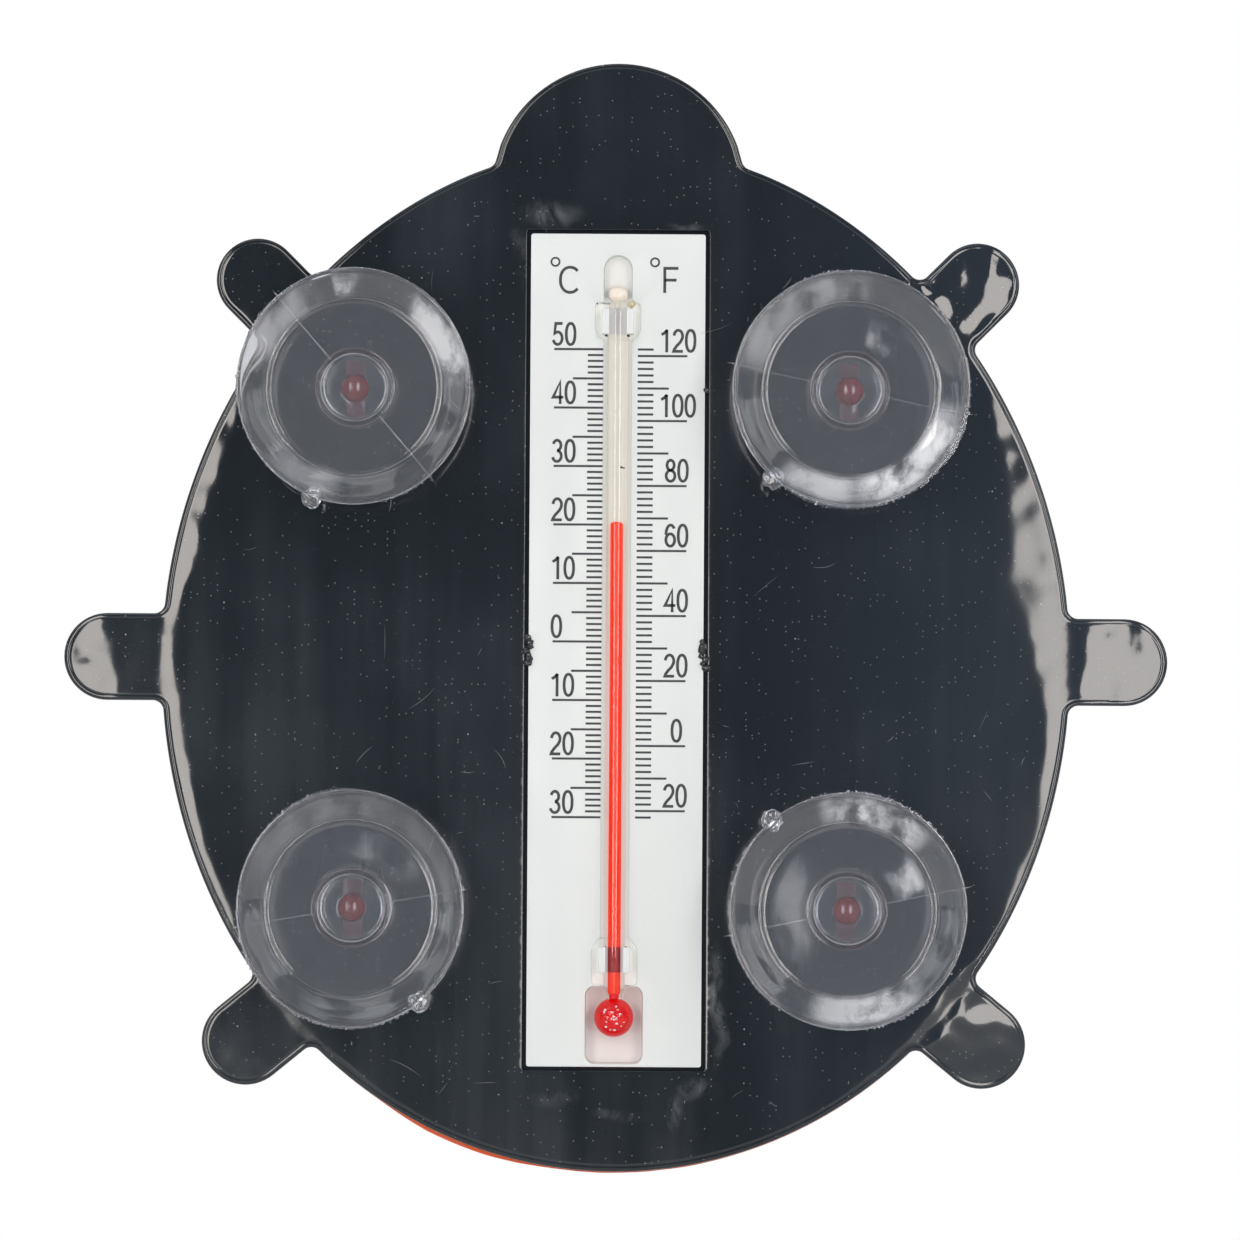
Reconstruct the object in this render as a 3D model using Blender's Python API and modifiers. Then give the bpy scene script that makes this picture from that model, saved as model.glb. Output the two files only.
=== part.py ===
"""Beetle-shaped window thermometer.

A black back plate with a head and six legs carries a white scale plate with a
glass spirit thermometer. Four clear suction cups swivel on red ball pegs and
hold the object outdoors on a window pane, so that the scale is read from
indoors. A domed orange shell covers the garden side.

Frame: metres, +Z up towards the head, +X to the right as seen through the
window, +Y away from the window. The origin is the middle of the contact
plane of the four cup lips, straight in front of the middle of the scale plate.
"""
import math

import bmesh
import bpy
from mathutils import Matrix, Vector

# ---------------------------------------------------------------- dimensions
GAP = 0.0003                      # clearance between pieces that touch

# Depths, measured from the window pane
BACK_REAR_Y = 0.0150              # rear face of the black back plate
BACK_THICKNESS = 0.0020
BACK_EDGE_RADIUS = 0.0007

# Outline of the body, seen through the window
BODY_HALF_WIDTH = 0.0773
BODY_MIDDLE_Z = -0.0022
UPPER_RISE = 0.0848               # height above the middle line
UPPER_RISE_CUBED = 0.0034         # extra height that draws the top out
LOWER_DROP = 0.0874
LOWER_DROP_CUBED = -0.0010
BODY_ARC_STEP = math.radians(3.0)

HEAD_CENTRE_Z = 0.0783
HEAD_RADIUS = 0.0216
UPPER_LEG_TIP = (0.06135, 0.0627)
UPPER_LEG_RADIUS = 0.00705
UPPER_LEG_ANGLE = math.radians(45.0)
MIDDLE_LEG_TIP = (0.0865, -0.0016)
MIDDLE_LEG_RADIUS = 0.0074
MIDDLE_LEG_ANGLE = math.radians(-0.4)
LOWER_LEG_TIP = (0.06255, -0.0668)
LOWER_LEG_RADIUS = 0.00744
LOWER_LEG_ANGLE = math.radians(-39.3)
TIP_ARC_STEPS = 10
JUNCTION_FILLET = 0.0016

# Scale plate and the recess that it sits in
PLATE_HALF_WIDTH = 0.01485
PLATE_HALF_HEIGHT = 0.0708
PLATE_THICKNESS = 0.0020
PLATE_CORNER = 0.0004
RECESS_SIDE_GAP = 0.0007
RECESS_FLOOR_Y = 0.0180
RECESS_FLOOR_THICKNESS = 0.0015
RECESS_WALL = 0.0016
CRIMP_HALF_HEIGHT = 0.0024
CRIMP_OVERLAP = 0.0005
CRIMP_DEPTH = 0.0005

# Tube channel moulded in the scale plate
TUBE_Y = 0.0152                   # depth of the tube's axis
CHANNEL_HALF_WIDTH = 0.00255
CHANNEL_TOP_Z = 0.0673
CHANNEL_FLOOR_Y = 0.0174
TROUGH_HALF_WIDTH = 0.0054
TROUGH_TOP_Z = 0.0686
TROUGH_FRONT_Y = 0.0186
COLLAR_HALF_WIDTH = 0.0040
UPPER_COLLAR_Z = (0.0525, 0.0592)
LOWER_COLLAR_Z = (-0.0572, -0.0488)
POCKET_HALF_WIDTH = 0.0050
POCKET_Z = (-0.0704, -0.0570)
POCKET_CORNER = 0.0017
POCKET_FLOOR_Y = 0.0191
POCKET_WALL = 0.0012
TAB_INNER_X = 0.0012
TAB_OUTER_X = 0.00275
TAB_POST_X = 0.0022
TAB_HALF_HEIGHT = 0.00215
UPPER_TAB_Z = 0.0558
LOWER_TAB_Z = -0.0526
TAB_REAR_Y = 0.0124
TAB_HOOK_FRONT_Y = 0.0133
MOULD_HOLE_HALF_WIDTH = 0.0020

# Glass tube and its red spirit
STEM_RADIUS = 0.00189
BORE_RADIUS = 0.00132
BULB_RADIUS = 0.0035
BULB_CAVITY_RADIUS = 0.0031
BULB_Z = -0.0624
STEM_TOP_Z = 0.0576
TIP_TOP_Z = 0.0595
LIQUID_RADIUS = 0.0010
BULB_LIQUID_RADIUS = 0.0028
BULB_LIQUID_TOP_Z = -0.0570
COLUMN_FOOT_Z = -0.0567
READING_C = 20.5                  # the temperature that the column shows
ZERO_C_Z = 0.0014
METRES_PER_DEGREE_C = 0.000995
MENISCUS_LENGTH = 0.0013
TUBE_STEPS = 20

# Pegs and suction cups
CUP_LEFT_X = -0.0444
CUP_RIGHT_X = 0.0393
CUP_UPPER_Z = 0.0439
CUP_LOWER_Z = -0.0439
CUP_RADIUS = 0.0200
CUP_LIP_LAND = 0.0018             # width of the flat contact ring
CUP_HOLLOW_DEPTH = 0.0046
CUP_RIDGE_RADIUS = 0.0149
CUP_NECK_RADIUS = 0.00675
CUP_NECK_END_Y = 0.0131
CUP_STEPS = 24
BALL_RADIUS = 0.00245
BALL_Y = 0.0094
SOCKET_RADIUS = BALL_RADIUS + GAP
SOCKET_MOUTH_RADIUS = 0.0018
PIN_RADIUS = 0.0014
BAR_HALF_WIDTH = 0.00175
BAR_HALF_HEIGHT = 0.00505
BAR_REAR_Y = 0.0134
STEM_HOLE_RADIUS = 0.0018
BARB_RADIUS = 0.0023
BARB_END_Y = 0.0186
PEG_STEPS = 16

# Domed front
SHELL_RIM_Y = BACK_REAR_Y + BACK_THICKNESS + GAP
SHELL_SKIRT = 0.0022
SHELL_DEPTH = 0.0190
SHELL_WALL = 0.0018
SHELL_RIM_INSET = 0.0001           # how far its rim lies inside the outline of the back plate
SHELL_SHIFT = (-0.0003, -0.0006)  # it sits a little low and to the left
SHELL_ROUNDNESS = 2.2
HEAD_CAP_RADIUS = 0.0210
HEAD_CAP_DEPTH = 0.0110
HEAD_CAP_WALL = 0.0018
HEAD_CAP_CLEARANCE = 0.0006

STANDING = Matrix.Rotation(math.pi / 2, 4, "X")   # local XY becomes world XZ


# ------------------------------------------------------------------- helpers
def clear_scene():
    for obj in list(bpy.data.objects):
        bpy.data.objects.remove(obj, do_unlink=True)


def new_collection(name):
    collection = bpy.data.collections.new(name)
    bpy.context.scene.collection.children.link(collection)
    return collection


def make_material(name, colour, roughness, metallic=0.0, transmission=0.0):
    material = bpy.data.materials.new(name)
    material.use_nodes = True
    shader = material.node_tree.nodes["Principled BSDF"]
    shader.inputs["Base Color"].default_value = (*colour, 1.0)
    shader.inputs["Roughness"].default_value = roughness
    shader.inputs["Metallic"].default_value = metallic
    shader.inputs["Transmission Weight"].default_value = transmission
    material.diffuse_color = (*colour, 1.0)
    return material


def add_mesh(name, mesh, collection, material=None):
    obj = bpy.data.objects.new(name, mesh)
    collection.objects.link(obj)
    if material:
        obj.data.materials.append(material)
    return obj


def as_cutter(obj):
    obj.hide_render = True
    obj.display_type = "WIRE"
    return obj


def combine(target, other, operation):
    modifier = target.modifiers.new(other.name, "BOOLEAN")
    modifier.operation = operation
    modifier.solver = "EXACT"
    modifier.object = other


def box(name, low, high, collection, material=None, bevel=0.0):
    """A block between two corners, with its origin in its middle."""
    low = Vector(low)
    high = Vector(high)
    mesh = bpy.data.meshes.new(name)
    form = bmesh.new()
    bmesh.ops.create_cube(form, size=1.0)
    bmesh.ops.scale(form, vec=high - low, verts=form.verts)
    form.to_mesh(mesh)
    form.free()
    obj = add_mesh(name, mesh, collection, material)
    obj.location = (low + high) / 2
    if bevel:
        rounding = obj.modifiers.new("rounding", "BEVEL")
        rounding.width = bevel
        rounding.segments = 1
    return obj


def slab(name, outline, rear_y, front_y, collection, material=None, edge=0.0):
    """A flat piece with the given outline (x, z), between two depths."""
    curve = bpy.data.curves.new(name, "CURVE")
    curve.dimensions = "2D"
    curve.fill_mode = "BOTH"
    curve.extrude = (front_y - rear_y) / 2 - edge
    curve.bevel_depth = edge
    curve.bevel_resolution = 1
    curve.offset = -edge
    spline = curve.splines.new("POLY")
    spline.points.add(len(outline) - 1)
    for point, (x, z) in zip(spline.points, outline):
        point.co = (x, z, 0.0, 1.0)
    spline.use_cyclic_u = True
    source = bpy.data.objects.new(name + "_curve", curve)
    collection.objects.link(source)
    source.matrix_world = Matrix.Translation((0, (rear_y + front_y) / 2, 0)) @ STANDING
    bpy.context.view_layer.update()
    evaluated = source.evaluated_get(bpy.context.evaluated_depsgraph_get())
    mesh = bpy.data.meshes.new_from_object(evaluated)
    mesh.name = name
    form = bmesh.new()
    form.from_mesh(mesh)
    bmesh.ops.remove_doubles(form, verts=form.verts, dist=1e-6)
    inside_a_face = [edge for edge in form.edges
                     if all(abs(face.normal.z) > 0.9999 or face.calc_area() < 1e-12
                            for face in edge.link_faces)]
    bmesh.ops.dissolve_edges(form, edges=inside_a_face, use_verts=False)
    form.to_mesh(mesh)
    form.free()
    mesh.materials.clear()
    obj = add_mesh(name, mesh, collection, material)
    obj.matrix_world = source.matrix_world
    bpy.data.objects.remove(source, do_unlink=True)
    return obj


def turned(name, profile, steps, collection, material=None, ring=False):
    """A turned piece: the profile (radius, height) goes round the local Z axis.

    A ring's profile closes on itself instead of ending on the axis.
    """
    mesh = bpy.data.meshes.new(name)
    edges = [(i, i + 1) for i in range(len(profile) - 1)
             if profile[i][0] > 0 or profile[i + 1][0] > 0]
    if ring:
        edges.append((len(profile) - 1, 0))
    mesh.from_pydata([(radius, 0.0, height) for radius, height in profile], edges, [])
    obj = add_mesh(name, mesh, collection, material)
    screw = obj.modifiers.new("turn", "SCREW")
    screw.axis = "Z"
    screw.steps = steps
    screw.render_steps = steps
    screw.use_merge_vertices = True
    screw.merge_threshold = 0.00001
    screw.use_smooth_shade = True
    return obj


def turned_from_window(name, profile, place, steps, collection, material=None):
    """A turned piece on an axis along Y: the profile is (radius, depth from the pane)."""
    x, z = place
    obj = turned(name, [(radius, -depth) for radius, depth in profile], steps, collection, material)
    obj.rotation_euler = (math.pi / 2, 0, 0)
    obj.location = (x, 0, z)
    return obj


def arc(centre, radius, start, end, steps):
    points = []
    for i in range(steps + 1):
        angle = start + (end - start) * i / steps
        points.append((centre[0] + radius * math.cos(angle), centre[1] + radius * math.sin(angle)))
    return points


def rounded_rectangle(low, high, corner, steps=3):
    (x0, z0), (x1, z1) = low, high
    quarter = math.pi / 2
    centres = [(x1 - corner, z0 + corner), (x1 - corner, z1 - corner),
               (x0 + corner, z1 - corner), (x0 + corner, z0 + corner)]
    points = []
    for i, centre in enumerate(centres):
        points += arc(centre, corner, (i - 1) * quarter, i * quarter, steps)
    return points


# ------------------------------------------------------------------- outline
def body_point(angle, growth=0.0):
    """The body's egg-like outline, without its head and legs."""
    sine = math.sin(angle)
    if sine >= 0:
        rise = UPPER_RISE * sine + UPPER_RISE_CUBED * sine ** 3
    else:
        rise = LOWER_DROP * sine + LOWER_DROP_CUBED * sine ** 3
    return Vector(((BODY_HALF_WIDTH + growth) * math.cos(angle),
                   BODY_MIDDLE_Z + rise + growth * sine))


def limbs():
    """Head and legs, anticlockwise from the right: tip circle's centre, radius, direction."""
    right = [(MIDDLE_LEG_TIP, MIDDLE_LEG_RADIUS, MIDDLE_LEG_ANGLE),
             (UPPER_LEG_TIP, UPPER_LEG_RADIUS, UPPER_LEG_ANGLE)]
    head = [((0.0, HEAD_CENTRE_Z), HEAD_RADIUS, math.pi / 2)]
    left = [((-x, z), radius, math.pi - angle) for (x, z), radius, angle in reversed(right)]
    lower_left = ((-LOWER_LEG_TIP[0], LOWER_LEG_TIP[1]), LOWER_LEG_RADIUS, math.pi - LOWER_LEG_ANGLE)
    lower_right = (LOWER_LEG_TIP, LOWER_LEG_RADIUS, 2 * math.pi + LOWER_LEG_ANGLE)
    return right + head + left + [lower_left, lower_right]


def distance_to_limb(point, tip, direction):
    """Distance from a point to the line that runs from inside the body to the tip."""
    along = Vector((math.cos(direction), math.sin(direction)))
    offset = point - Vector(tip)
    reach = min(offset.dot(along), 0.0)
    return (offset - along * reach).length


def junction(tip, radius, direction, side):
    """Angle where the body's outline meets one side of a limb."""
    middle = math.atan2(tip[1] - BODY_MIDDLE_Z, tip[0])
    middle += 2 * math.pi * round((direction - middle) / (2 * math.pi))
    inside = middle
    outside = middle + side * math.radians(26.0)
    for _ in range(40):
        angle = (inside + outside) / 2
        if distance_to_limb(body_point(angle), tip, direction) < radius:
            inside = angle
        else:
            outside = angle
    return inside


def filleted(before, corner, after, radius, steps=3):
    """The points of a small arc that replaces a corner."""
    to_before = (before - corner).normalized()
    to_after = (after - corner).normalized()
    half = to_before.angle(to_after) / 2
    reach = radius / math.tan(half)
    centre = corner + (to_before + to_after).normalized() * radius / math.sin(half)
    start = corner + to_before * reach - centre
    end = corner + to_after * reach - centre
    points = []
    for i in range(steps + 1):
        direction = start.lerp(end, i / steps).normalized()
        points.append(centre + direction * radius)
    return points


def back_outline():
    """The whole outline of the back plate: body, head and legs."""
    parts = limbs()
    joints = [(junction(*part, -1), junction(*part, 1)) for part in parts]
    points = []
    for i, (tip, radius, direction) in enumerate(parts):
        enter, leave = joints[i]
        following = joints[(i + 1) % len(parts)][0]
        if following < leave:
            following += 2 * math.pi
        previous = joints[i - 1][1]
        if previous > enter:
            previous -= 2 * math.pi
        first = body_point(enter)
        last = body_point(leave)
        start = max(-math.pi / 2, (first - Vector(tip)).angle_signed(Vector((1, 0))) - direction)
        start = -math.pi / 2 if direction != math.pi / 2 else start
        end = -start
        tip_arc = [Vector(p) for p in arc(tip, radius, direction + start, direction + end, TIP_ARC_STEPS)]
        if direction == math.pi / 2:
            tip_arc = tip_arc[1:-1]
        step_in = (enter - previous) / max(2, round((enter - previous) / BODY_ARC_STEP))
        points += filleted(body_point(enter - step_in), first, tip_arc[0], JUNCTION_FILLET)
        points += tip_arc
        count = max(2, round((following - leave) / BODY_ARC_STEP))
        step_out = (following - leave) / count
        points += filleted(tip_arc[-1], last, body_point(leave + step_out), JUNCTION_FILLET)
        points += [body_point(leave + step_out * k) for k in range(1, count)]
    return [tuple(point) for point in points]


# --------------------------------------------------------------------- parts
def cup_places():
    return {
        "upper_left": (CUP_LEFT_X, CUP_UPPER_Z),
        "upper_right": (CUP_RIGHT_X, CUP_UPPER_Z),
        "lower_left": (CUP_LEFT_X, CUP_LOWER_Z),
        "lower_right": (CUP_RIGHT_X, CUP_LOWER_Z),
    }


def make_back_plate(parts, cutters, black):
    front_y = BACK_REAR_Y + BACK_THICKNESS
    plate = slab("back_plate", back_outline(), BACK_REAR_Y, front_y, parts, black, BACK_EDGE_RADIUS)

    half_width = PLATE_HALF_WIDTH + RECESS_SIDE_GAP
    half_height = PLATE_HALF_HEIGHT + RECESS_SIDE_GAP
    pan = slab("recess_pan",
               rounded_rectangle((-half_width - RECESS_WALL, -half_height - RECESS_WALL),
                                 (half_width + RECESS_WALL, half_height + RECESS_WALL), 0.001),
               BACK_REAR_Y + BACK_THICKNESS / 2, RECESS_FLOOR_Y + RECESS_FLOOR_THICKNESS, cutters)
    combine(plate, as_cutter(pan), "UNION")
    recess = box("recess_cut", (-half_width, BACK_REAR_Y - 0.003, -half_height),
                 (half_width, RECESS_FLOOR_Y, half_height), cutters)
    combine(plate, as_cutter(recess), "DIFFERENCE")
    slot_half = TROUGH_HALF_WIDTH + 2 * GAP
    slot = box("trough_slot", (-slot_half, RECESS_FLOOR_Y - 0.001, POCKET_Z[1]),
               (slot_half, RECESS_FLOOR_Y + 0.004, TROUGH_TOP_Z + 2 * GAP), cutters)
    combine(plate, as_cutter(slot), "DIFFERENCE")
    window_half = POCKET_HALF_WIDTH + POCKET_WALL + 2 * GAP
    window = box("pocket_slot", (-window_half, RECESS_FLOOR_Y - 0.0011, -PLATE_HALF_HEIGHT - GAP),
                 (window_half, RECESS_FLOOR_Y + 0.0041, POCKET_Z[1] + POCKET_WALL + 2 * GAP), cutters)
    combine(plate, as_cutter(window), "DIFFERENCE")

    rear = BACK_REAR_Y - GAP - CRIMP_DEPTH
    for side, label in ((-1, "left"), (1, "right")):
        inner = side * (PLATE_HALF_WIDTH - CRIMP_OVERLAP)
        outer = side * (half_width + RECESS_WALL)
        hook = box("crimp_" + label,
                   (min(inner, outer), rear, -CRIMP_HALF_HEIGHT),
                   (max(inner, outer), BACK_REAR_Y - GAP, CRIMP_HALF_HEIGHT), cutters)
        foot_inner = side * half_width
        foot = box("crimp_foot_" + label,
                   (min(foot_inner, outer), BACK_REAR_Y - 2 * GAP, -CRIMP_HALF_HEIGHT * 0.9),
                   (max(foot_inner, outer), BACK_REAR_Y + BACK_THICKNESS / 2, CRIMP_HALF_HEIGHT * 0.9),
                   cutters)
        combine(plate, as_cutter(foot), "UNION")
        combine(plate, as_cutter(hook), "UNION")

    for label, place in cup_places().items():
        drill = [(0.0, BACK_REAR_Y - 0.002), (STEM_HOLE_RADIUS, BACK_REAR_Y - 0.002),
                 (STEM_HOLE_RADIUS, front_y + 0.002), (0.0, front_y + 0.002)]
        hole = turned_from_window("peg_hole_" + label, drill, place, PEG_STEPS, cutters)
        combine(plate, as_cutter(hole), "DIFFERENCE")
    return plate


def dome(name, outline_at, rim_y, depth, roundness, collection, material=None, rings=9, sectors=56):
    """Half of a sphere, drawn out to an outline and a depth; its open rim faces the window."""
    mesh = bpy.data.meshes.new(name)
    form = bmesh.new()
    bmesh.ops.create_uvsphere(form, u_segments=sectors, v_segments=2 * rings, radius=1.0)
    lower = [vertex for vertex in form.verts if vertex.co.z < -1e-4]
    bmesh.ops.delete(form, geom=lower, context="VERTS")
    for vertex in form.verts:
        x, z, up = vertex.co
        spread = min(1.0, math.hypot(x, z))
        target = outline_at(math.atan2(z, x))
        middle = outline_at(None)
        place = middle + (target - middle) * spread
        height = depth * (1 - spread ** roundness) ** (1 / roundness) if up > 1e-4 else 0.0
        vertex.co = (place.x, rim_y + height, place.y)
    bmesh.ops.recalc_face_normals(form, faces=form.faces)
    crown = max(form.verts, key=lambda vertex: vertex.co.y)
    if crown.normal.y < 0:
        bmesh.ops.reverse_faces(form, faces=form.faces)
    form.to_mesh(mesh)
    form.free()
    mesh.shade_smooth()
    return add_mesh(name, mesh, collection, material)


def shell_outline(growth):
    shift = Vector(SHELL_SHIFT)

    def at(angle):
        if angle is None:
            return shift + Vector((0.0, BODY_MIDDLE_Z))
        return shift + body_point(angle, growth - SHELL_RIM_INSET)
    return at


def extend_rim(obj, length):
    """Draws the open rim of a dome straight back towards the window."""
    form = bmesh.new()
    form.from_mesh(obj.data)
    rim = [edge for edge in form.edges if edge.is_boundary]
    extruded = bmesh.ops.extrude_edge_only(form, edges=rim)
    moved = [item for item in extruded["geom"] if isinstance(item, bmesh.types.BMVert)]
    bmesh.ops.translate(form, vec=(0, -length, 0), verts=moved)
    bmesh.ops.recalc_face_normals(form, faces=form.faces)
    crown = max(form.verts, key=lambda vertex: vertex.co.y)
    if crown.normal.y < 0:
        bmesh.ops.reverse_faces(form, faces=form.faces)
    form.to_mesh(obj.data)
    form.free()


def close_rim(obj):
    """Caps the open rim of a dome, so that it is a solid."""
    form = bmesh.new()
    form.from_mesh(obj.data)
    rim = [edge for edge in form.edges if edge.is_boundary]
    bmesh.ops.contextual_create(form, geom=rim)
    bmesh.ops.recalc_face_normals(form, faces=form.faces)
    form.to_mesh(obj.data)
    form.free()


def make_front_shell(parts, orange):
    shell = dome("front_shell", shell_outline(0.0), SHELL_RIM_Y + SHELL_SKIRT, SHELL_DEPTH,
                 SHELL_ROUNDNESS, parts, orange)
    extend_rim(shell, SHELL_SKIRT)
    wall = shell.modifiers.new("wall", "SOLIDIFY")
    wall.thickness = SHELL_WALL
    wall.offset = -1.0
    wall.use_even_offset = True
    return shell


def make_head_cap(parts, cutters, black):
    centre = Vector((0.0, HEAD_CENTRE_Z))

    def circle(radius):
        def at(angle):
            if angle is None:
                return centre
            return centre + Vector((radius * math.cos(angle), radius * math.sin(angle)))
        return at

    rim_y = SHELL_RIM_Y
    cap = dome("head_cap", circle(HEAD_CAP_RADIUS), rim_y + 0.001, HEAD_CAP_DEPTH, 2.0, parts, black,
               rings=6, sectors=40)
    extend_rim(cap, 0.001)
    close_rim(cap)
    hollow = dome("head_cap_hollow", circle(HEAD_CAP_RADIUS - HEAD_CAP_WALL), rim_y,
                  HEAD_CAP_DEPTH - HEAD_CAP_WALL, 2.0, cutters, rings=5, sectors=36)
    extend_rim(hollow, 0.002)
    close_rim(hollow)
    combine(cap, as_cutter(hollow), "DIFFERENCE")
    body = dome("head_cap_body_cut", shell_outline(HEAD_CAP_CLEARANCE), SHELL_RIM_Y + SHELL_SKIRT,
                SHELL_DEPTH + HEAD_CAP_CLEARANCE, SHELL_ROUNDNESS, cutters)
    extend_rim(body, SHELL_SKIRT + 0.002)
    close_rim(body)
    combine(cap, as_cutter(body), "DIFFERENCE")
    return cap


def make_scale_plate(parts, cutters, white):
    low = (-PLATE_HALF_WIDTH, -PLATE_HALF_HEIGHT)
    high = (PLATE_HALF_WIDTH, PLATE_HALF_HEIGHT)
    front_y = BACK_REAR_Y + PLATE_THICKNESS
    plate = slab("scale_plate", rounded_rectangle(low, high, PLATE_CORNER, 1), BACK_REAR_Y, front_y,
                 parts, white)
    trough = box("trough", (-TROUGH_HALF_WIDTH, front_y - 0.0005, POCKET_Z[1] + POCKET_WALL / 2),
                 (TROUGH_HALF_WIDTH, TROUGH_FRONT_Y, TROUGH_TOP_Z), cutters)
    combine(plate, as_cutter(trough), "UNION")
    pocket_half = POCKET_HALF_WIDTH + POCKET_WALL
    bulge = box("pocket_bulge", (-pocket_half, front_y - 0.0006, -PLATE_HALF_HEIGHT),
                (pocket_half, POCKET_FLOOR_Y + POCKET_WALL, POCKET_Z[1] + POCKET_WALL), cutters)
    combine(plate, as_cutter(bulge), "UNION")

    rear_y = BACK_REAR_Y - 0.001
    top = arc((0.0, CHANNEL_TOP_Z - CHANNEL_HALF_WIDTH), CHANNEL_HALF_WIDTH, 0.0, math.pi, 8)
    foot_z = POCKET_Z[1] - 0.002
    channel = slab("channel_cut", [(CHANNEL_HALF_WIDTH, foot_z)] + top + [(-CHANNEL_HALF_WIDTH, foot_z)],
                   rear_y, CHANNEL_FLOOR_Y, cutters)
    combine(plate, as_cutter(channel), "DIFFERENCE")
    for label, (foot, head) in (("upper", UPPER_COLLAR_Z), ("lower", LOWER_COLLAR_Z)):
        collar = slab("collar_cut_" + label,
                      rounded_rectangle((-COLLAR_HALF_WIDTH, foot), (COLLAR_HALF_WIDTH, head), 0.0006, 2),
                      rear_y - 0.0002, CHANNEL_FLOOR_Y + 0.00005, cutters)
        combine(plate, as_cutter(collar), "DIFFERENCE")
    pocket = slab("pocket_cut",
                  rounded_rectangle((-POCKET_HALF_WIDTH, POCKET_Z[0]), (POCKET_HALF_WIDTH, POCKET_Z[1]),
                                    POCKET_CORNER),
                  rear_y - 0.0004, POCKET_FLOOR_Y, cutters)
    combine(plate, as_cutter(pocket), "DIFFERENCE")

    for label, middle in (("upper", UPPER_TAB_Z), ("lower", LOWER_TAB_Z)):
        hole = box("mould_hole_" + label,
                   (-MOULD_HOLE_HALF_WIDTH, CHANNEL_FLOOR_Y - 0.0008, middle - TAB_HALF_HEIGHT * 0.98),
                   (MOULD_HOLE_HALF_WIDTH, TROUGH_FRONT_Y + 0.001, middle + TAB_HALF_HEIGHT * 0.98), cutters)
        combine(plate, as_cutter(hole), "DIFFERENCE")
        for side, hand in ((-1, "left"), (1, "right")):
            post_x = sorted((side * TAB_POST_X, side * TAB_OUTER_X))
            post = box("tab_post_%s_%s" % (label, hand),
                       (post_x[0], TAB_REAR_Y + 0.0003, middle - TAB_HALF_HEIGHT),
                       (post_x[1], CHANNEL_FLOOR_Y + 0.0006, middle + TAB_HALF_HEIGHT), cutters)
            combine(plate, as_cutter(post), "UNION")
            hook_x = sorted((side * TAB_INNER_X, side * TAB_OUTER_X))
            hook = box("tab_hook_%s_%s" % (label, hand),
                       (hook_x[0], TAB_REAR_Y, middle - TAB_HALF_HEIGHT),
                       (hook_x[1], TAB_HOOK_FRONT_Y, middle + TAB_HALF_HEIGHT), cutters)
            combine(plate, as_cutter(hook), "UNION")
    return plate


def sphere_profile(radius, middle, start_radius, end_radius, steps):
    """Points down a sphere's side, from one waist radius to another below it."""
    start = math.asin(start_radius / radius)
    end = math.pi - math.asin(end_radius / radius)
    points = []
    for i in range(steps + 1):
        angle = start + (end - start) * i / steps
        points.append((radius * math.sin(angle), middle + radius * math.cos(angle)))
    if end_radius == 0.0:
        points[-1] = (0.0, middle - radius)
    if start_radius == 0.0:
        points[0] = (0.0, middle + radius)
    return points


def place_on_tube_axis(obj):
    obj.location = (0, TUBE_Y, 0)
    return obj


def make_thermometer(parts, glass, red):
    outer = [(BORE_RADIUS, STEM_TOP_Z), (STEM_RADIUS, STEM_TOP_Z)]
    outer += sphere_profile(BULB_RADIUS, BULB_Z, STEM_RADIUS, 0.0, 9)
    cavity = sphere_profile(BULB_CAVITY_RADIUS, BULB_Z, BORE_RADIUS, 0.0, 7)
    profile = outer + cavity[::-1]
    place_on_tube_axis(turned("glass_tube", profile, TUBE_STEPS, parts, glass, ring=True))

    foot = STEM_TOP_Z + GAP
    tip = [(0.0, TIP_TOP_Z), (STEM_RADIUS * 0.55, TIP_TOP_Z - 0.0003),
           (STEM_RADIUS * 0.9, TIP_TOP_Z - 0.0009), (STEM_RADIUS, foot + 0.0003),
           (STEM_RADIUS, foot), (0.0, foot)]
    place_on_tube_axis(turned("tube_tip_seal", tip, TUBE_STEPS, parts, glass))

    reservoir = [(0.0, BULB_LIQUID_TOP_Z), (LIQUID_RADIUS, BULB_LIQUID_TOP_Z)]
    reservoir += sphere_profile(BULB_LIQUID_RADIUS, BULB_Z, LIQUID_RADIUS, 0.0, 7)
    place_on_tube_axis(turned("bulb_liquid", reservoir, TUBE_STEPS, parts, red))

    level = ZERO_C_Z + METRES_PER_DEGREE_C * READING_C
    cap_foot = level - MENISCUS_LENGTH
    thread = [(0.0, cap_foot - GAP), (LIQUID_RADIUS, cap_foot - GAP), (LIQUID_RADIUS, COLUMN_FOOT_Z),
              (0.0, COLUMN_FOOT_Z)]
    place_on_tube_axis(turned("liquid_column", thread, TUBE_STEPS, parts, red))
    meniscus = [(0.0, level), (LIQUID_RADIUS * 0.7, level - 0.0002), (LIQUID_RADIUS, level - 0.0006),
                (LIQUID_RADIUS, cap_foot), (0.0, cap_foot)]
    place_on_tube_axis(turned("liquid_meniscus", meniscus, TUBE_STEPS, parts, red))


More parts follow.
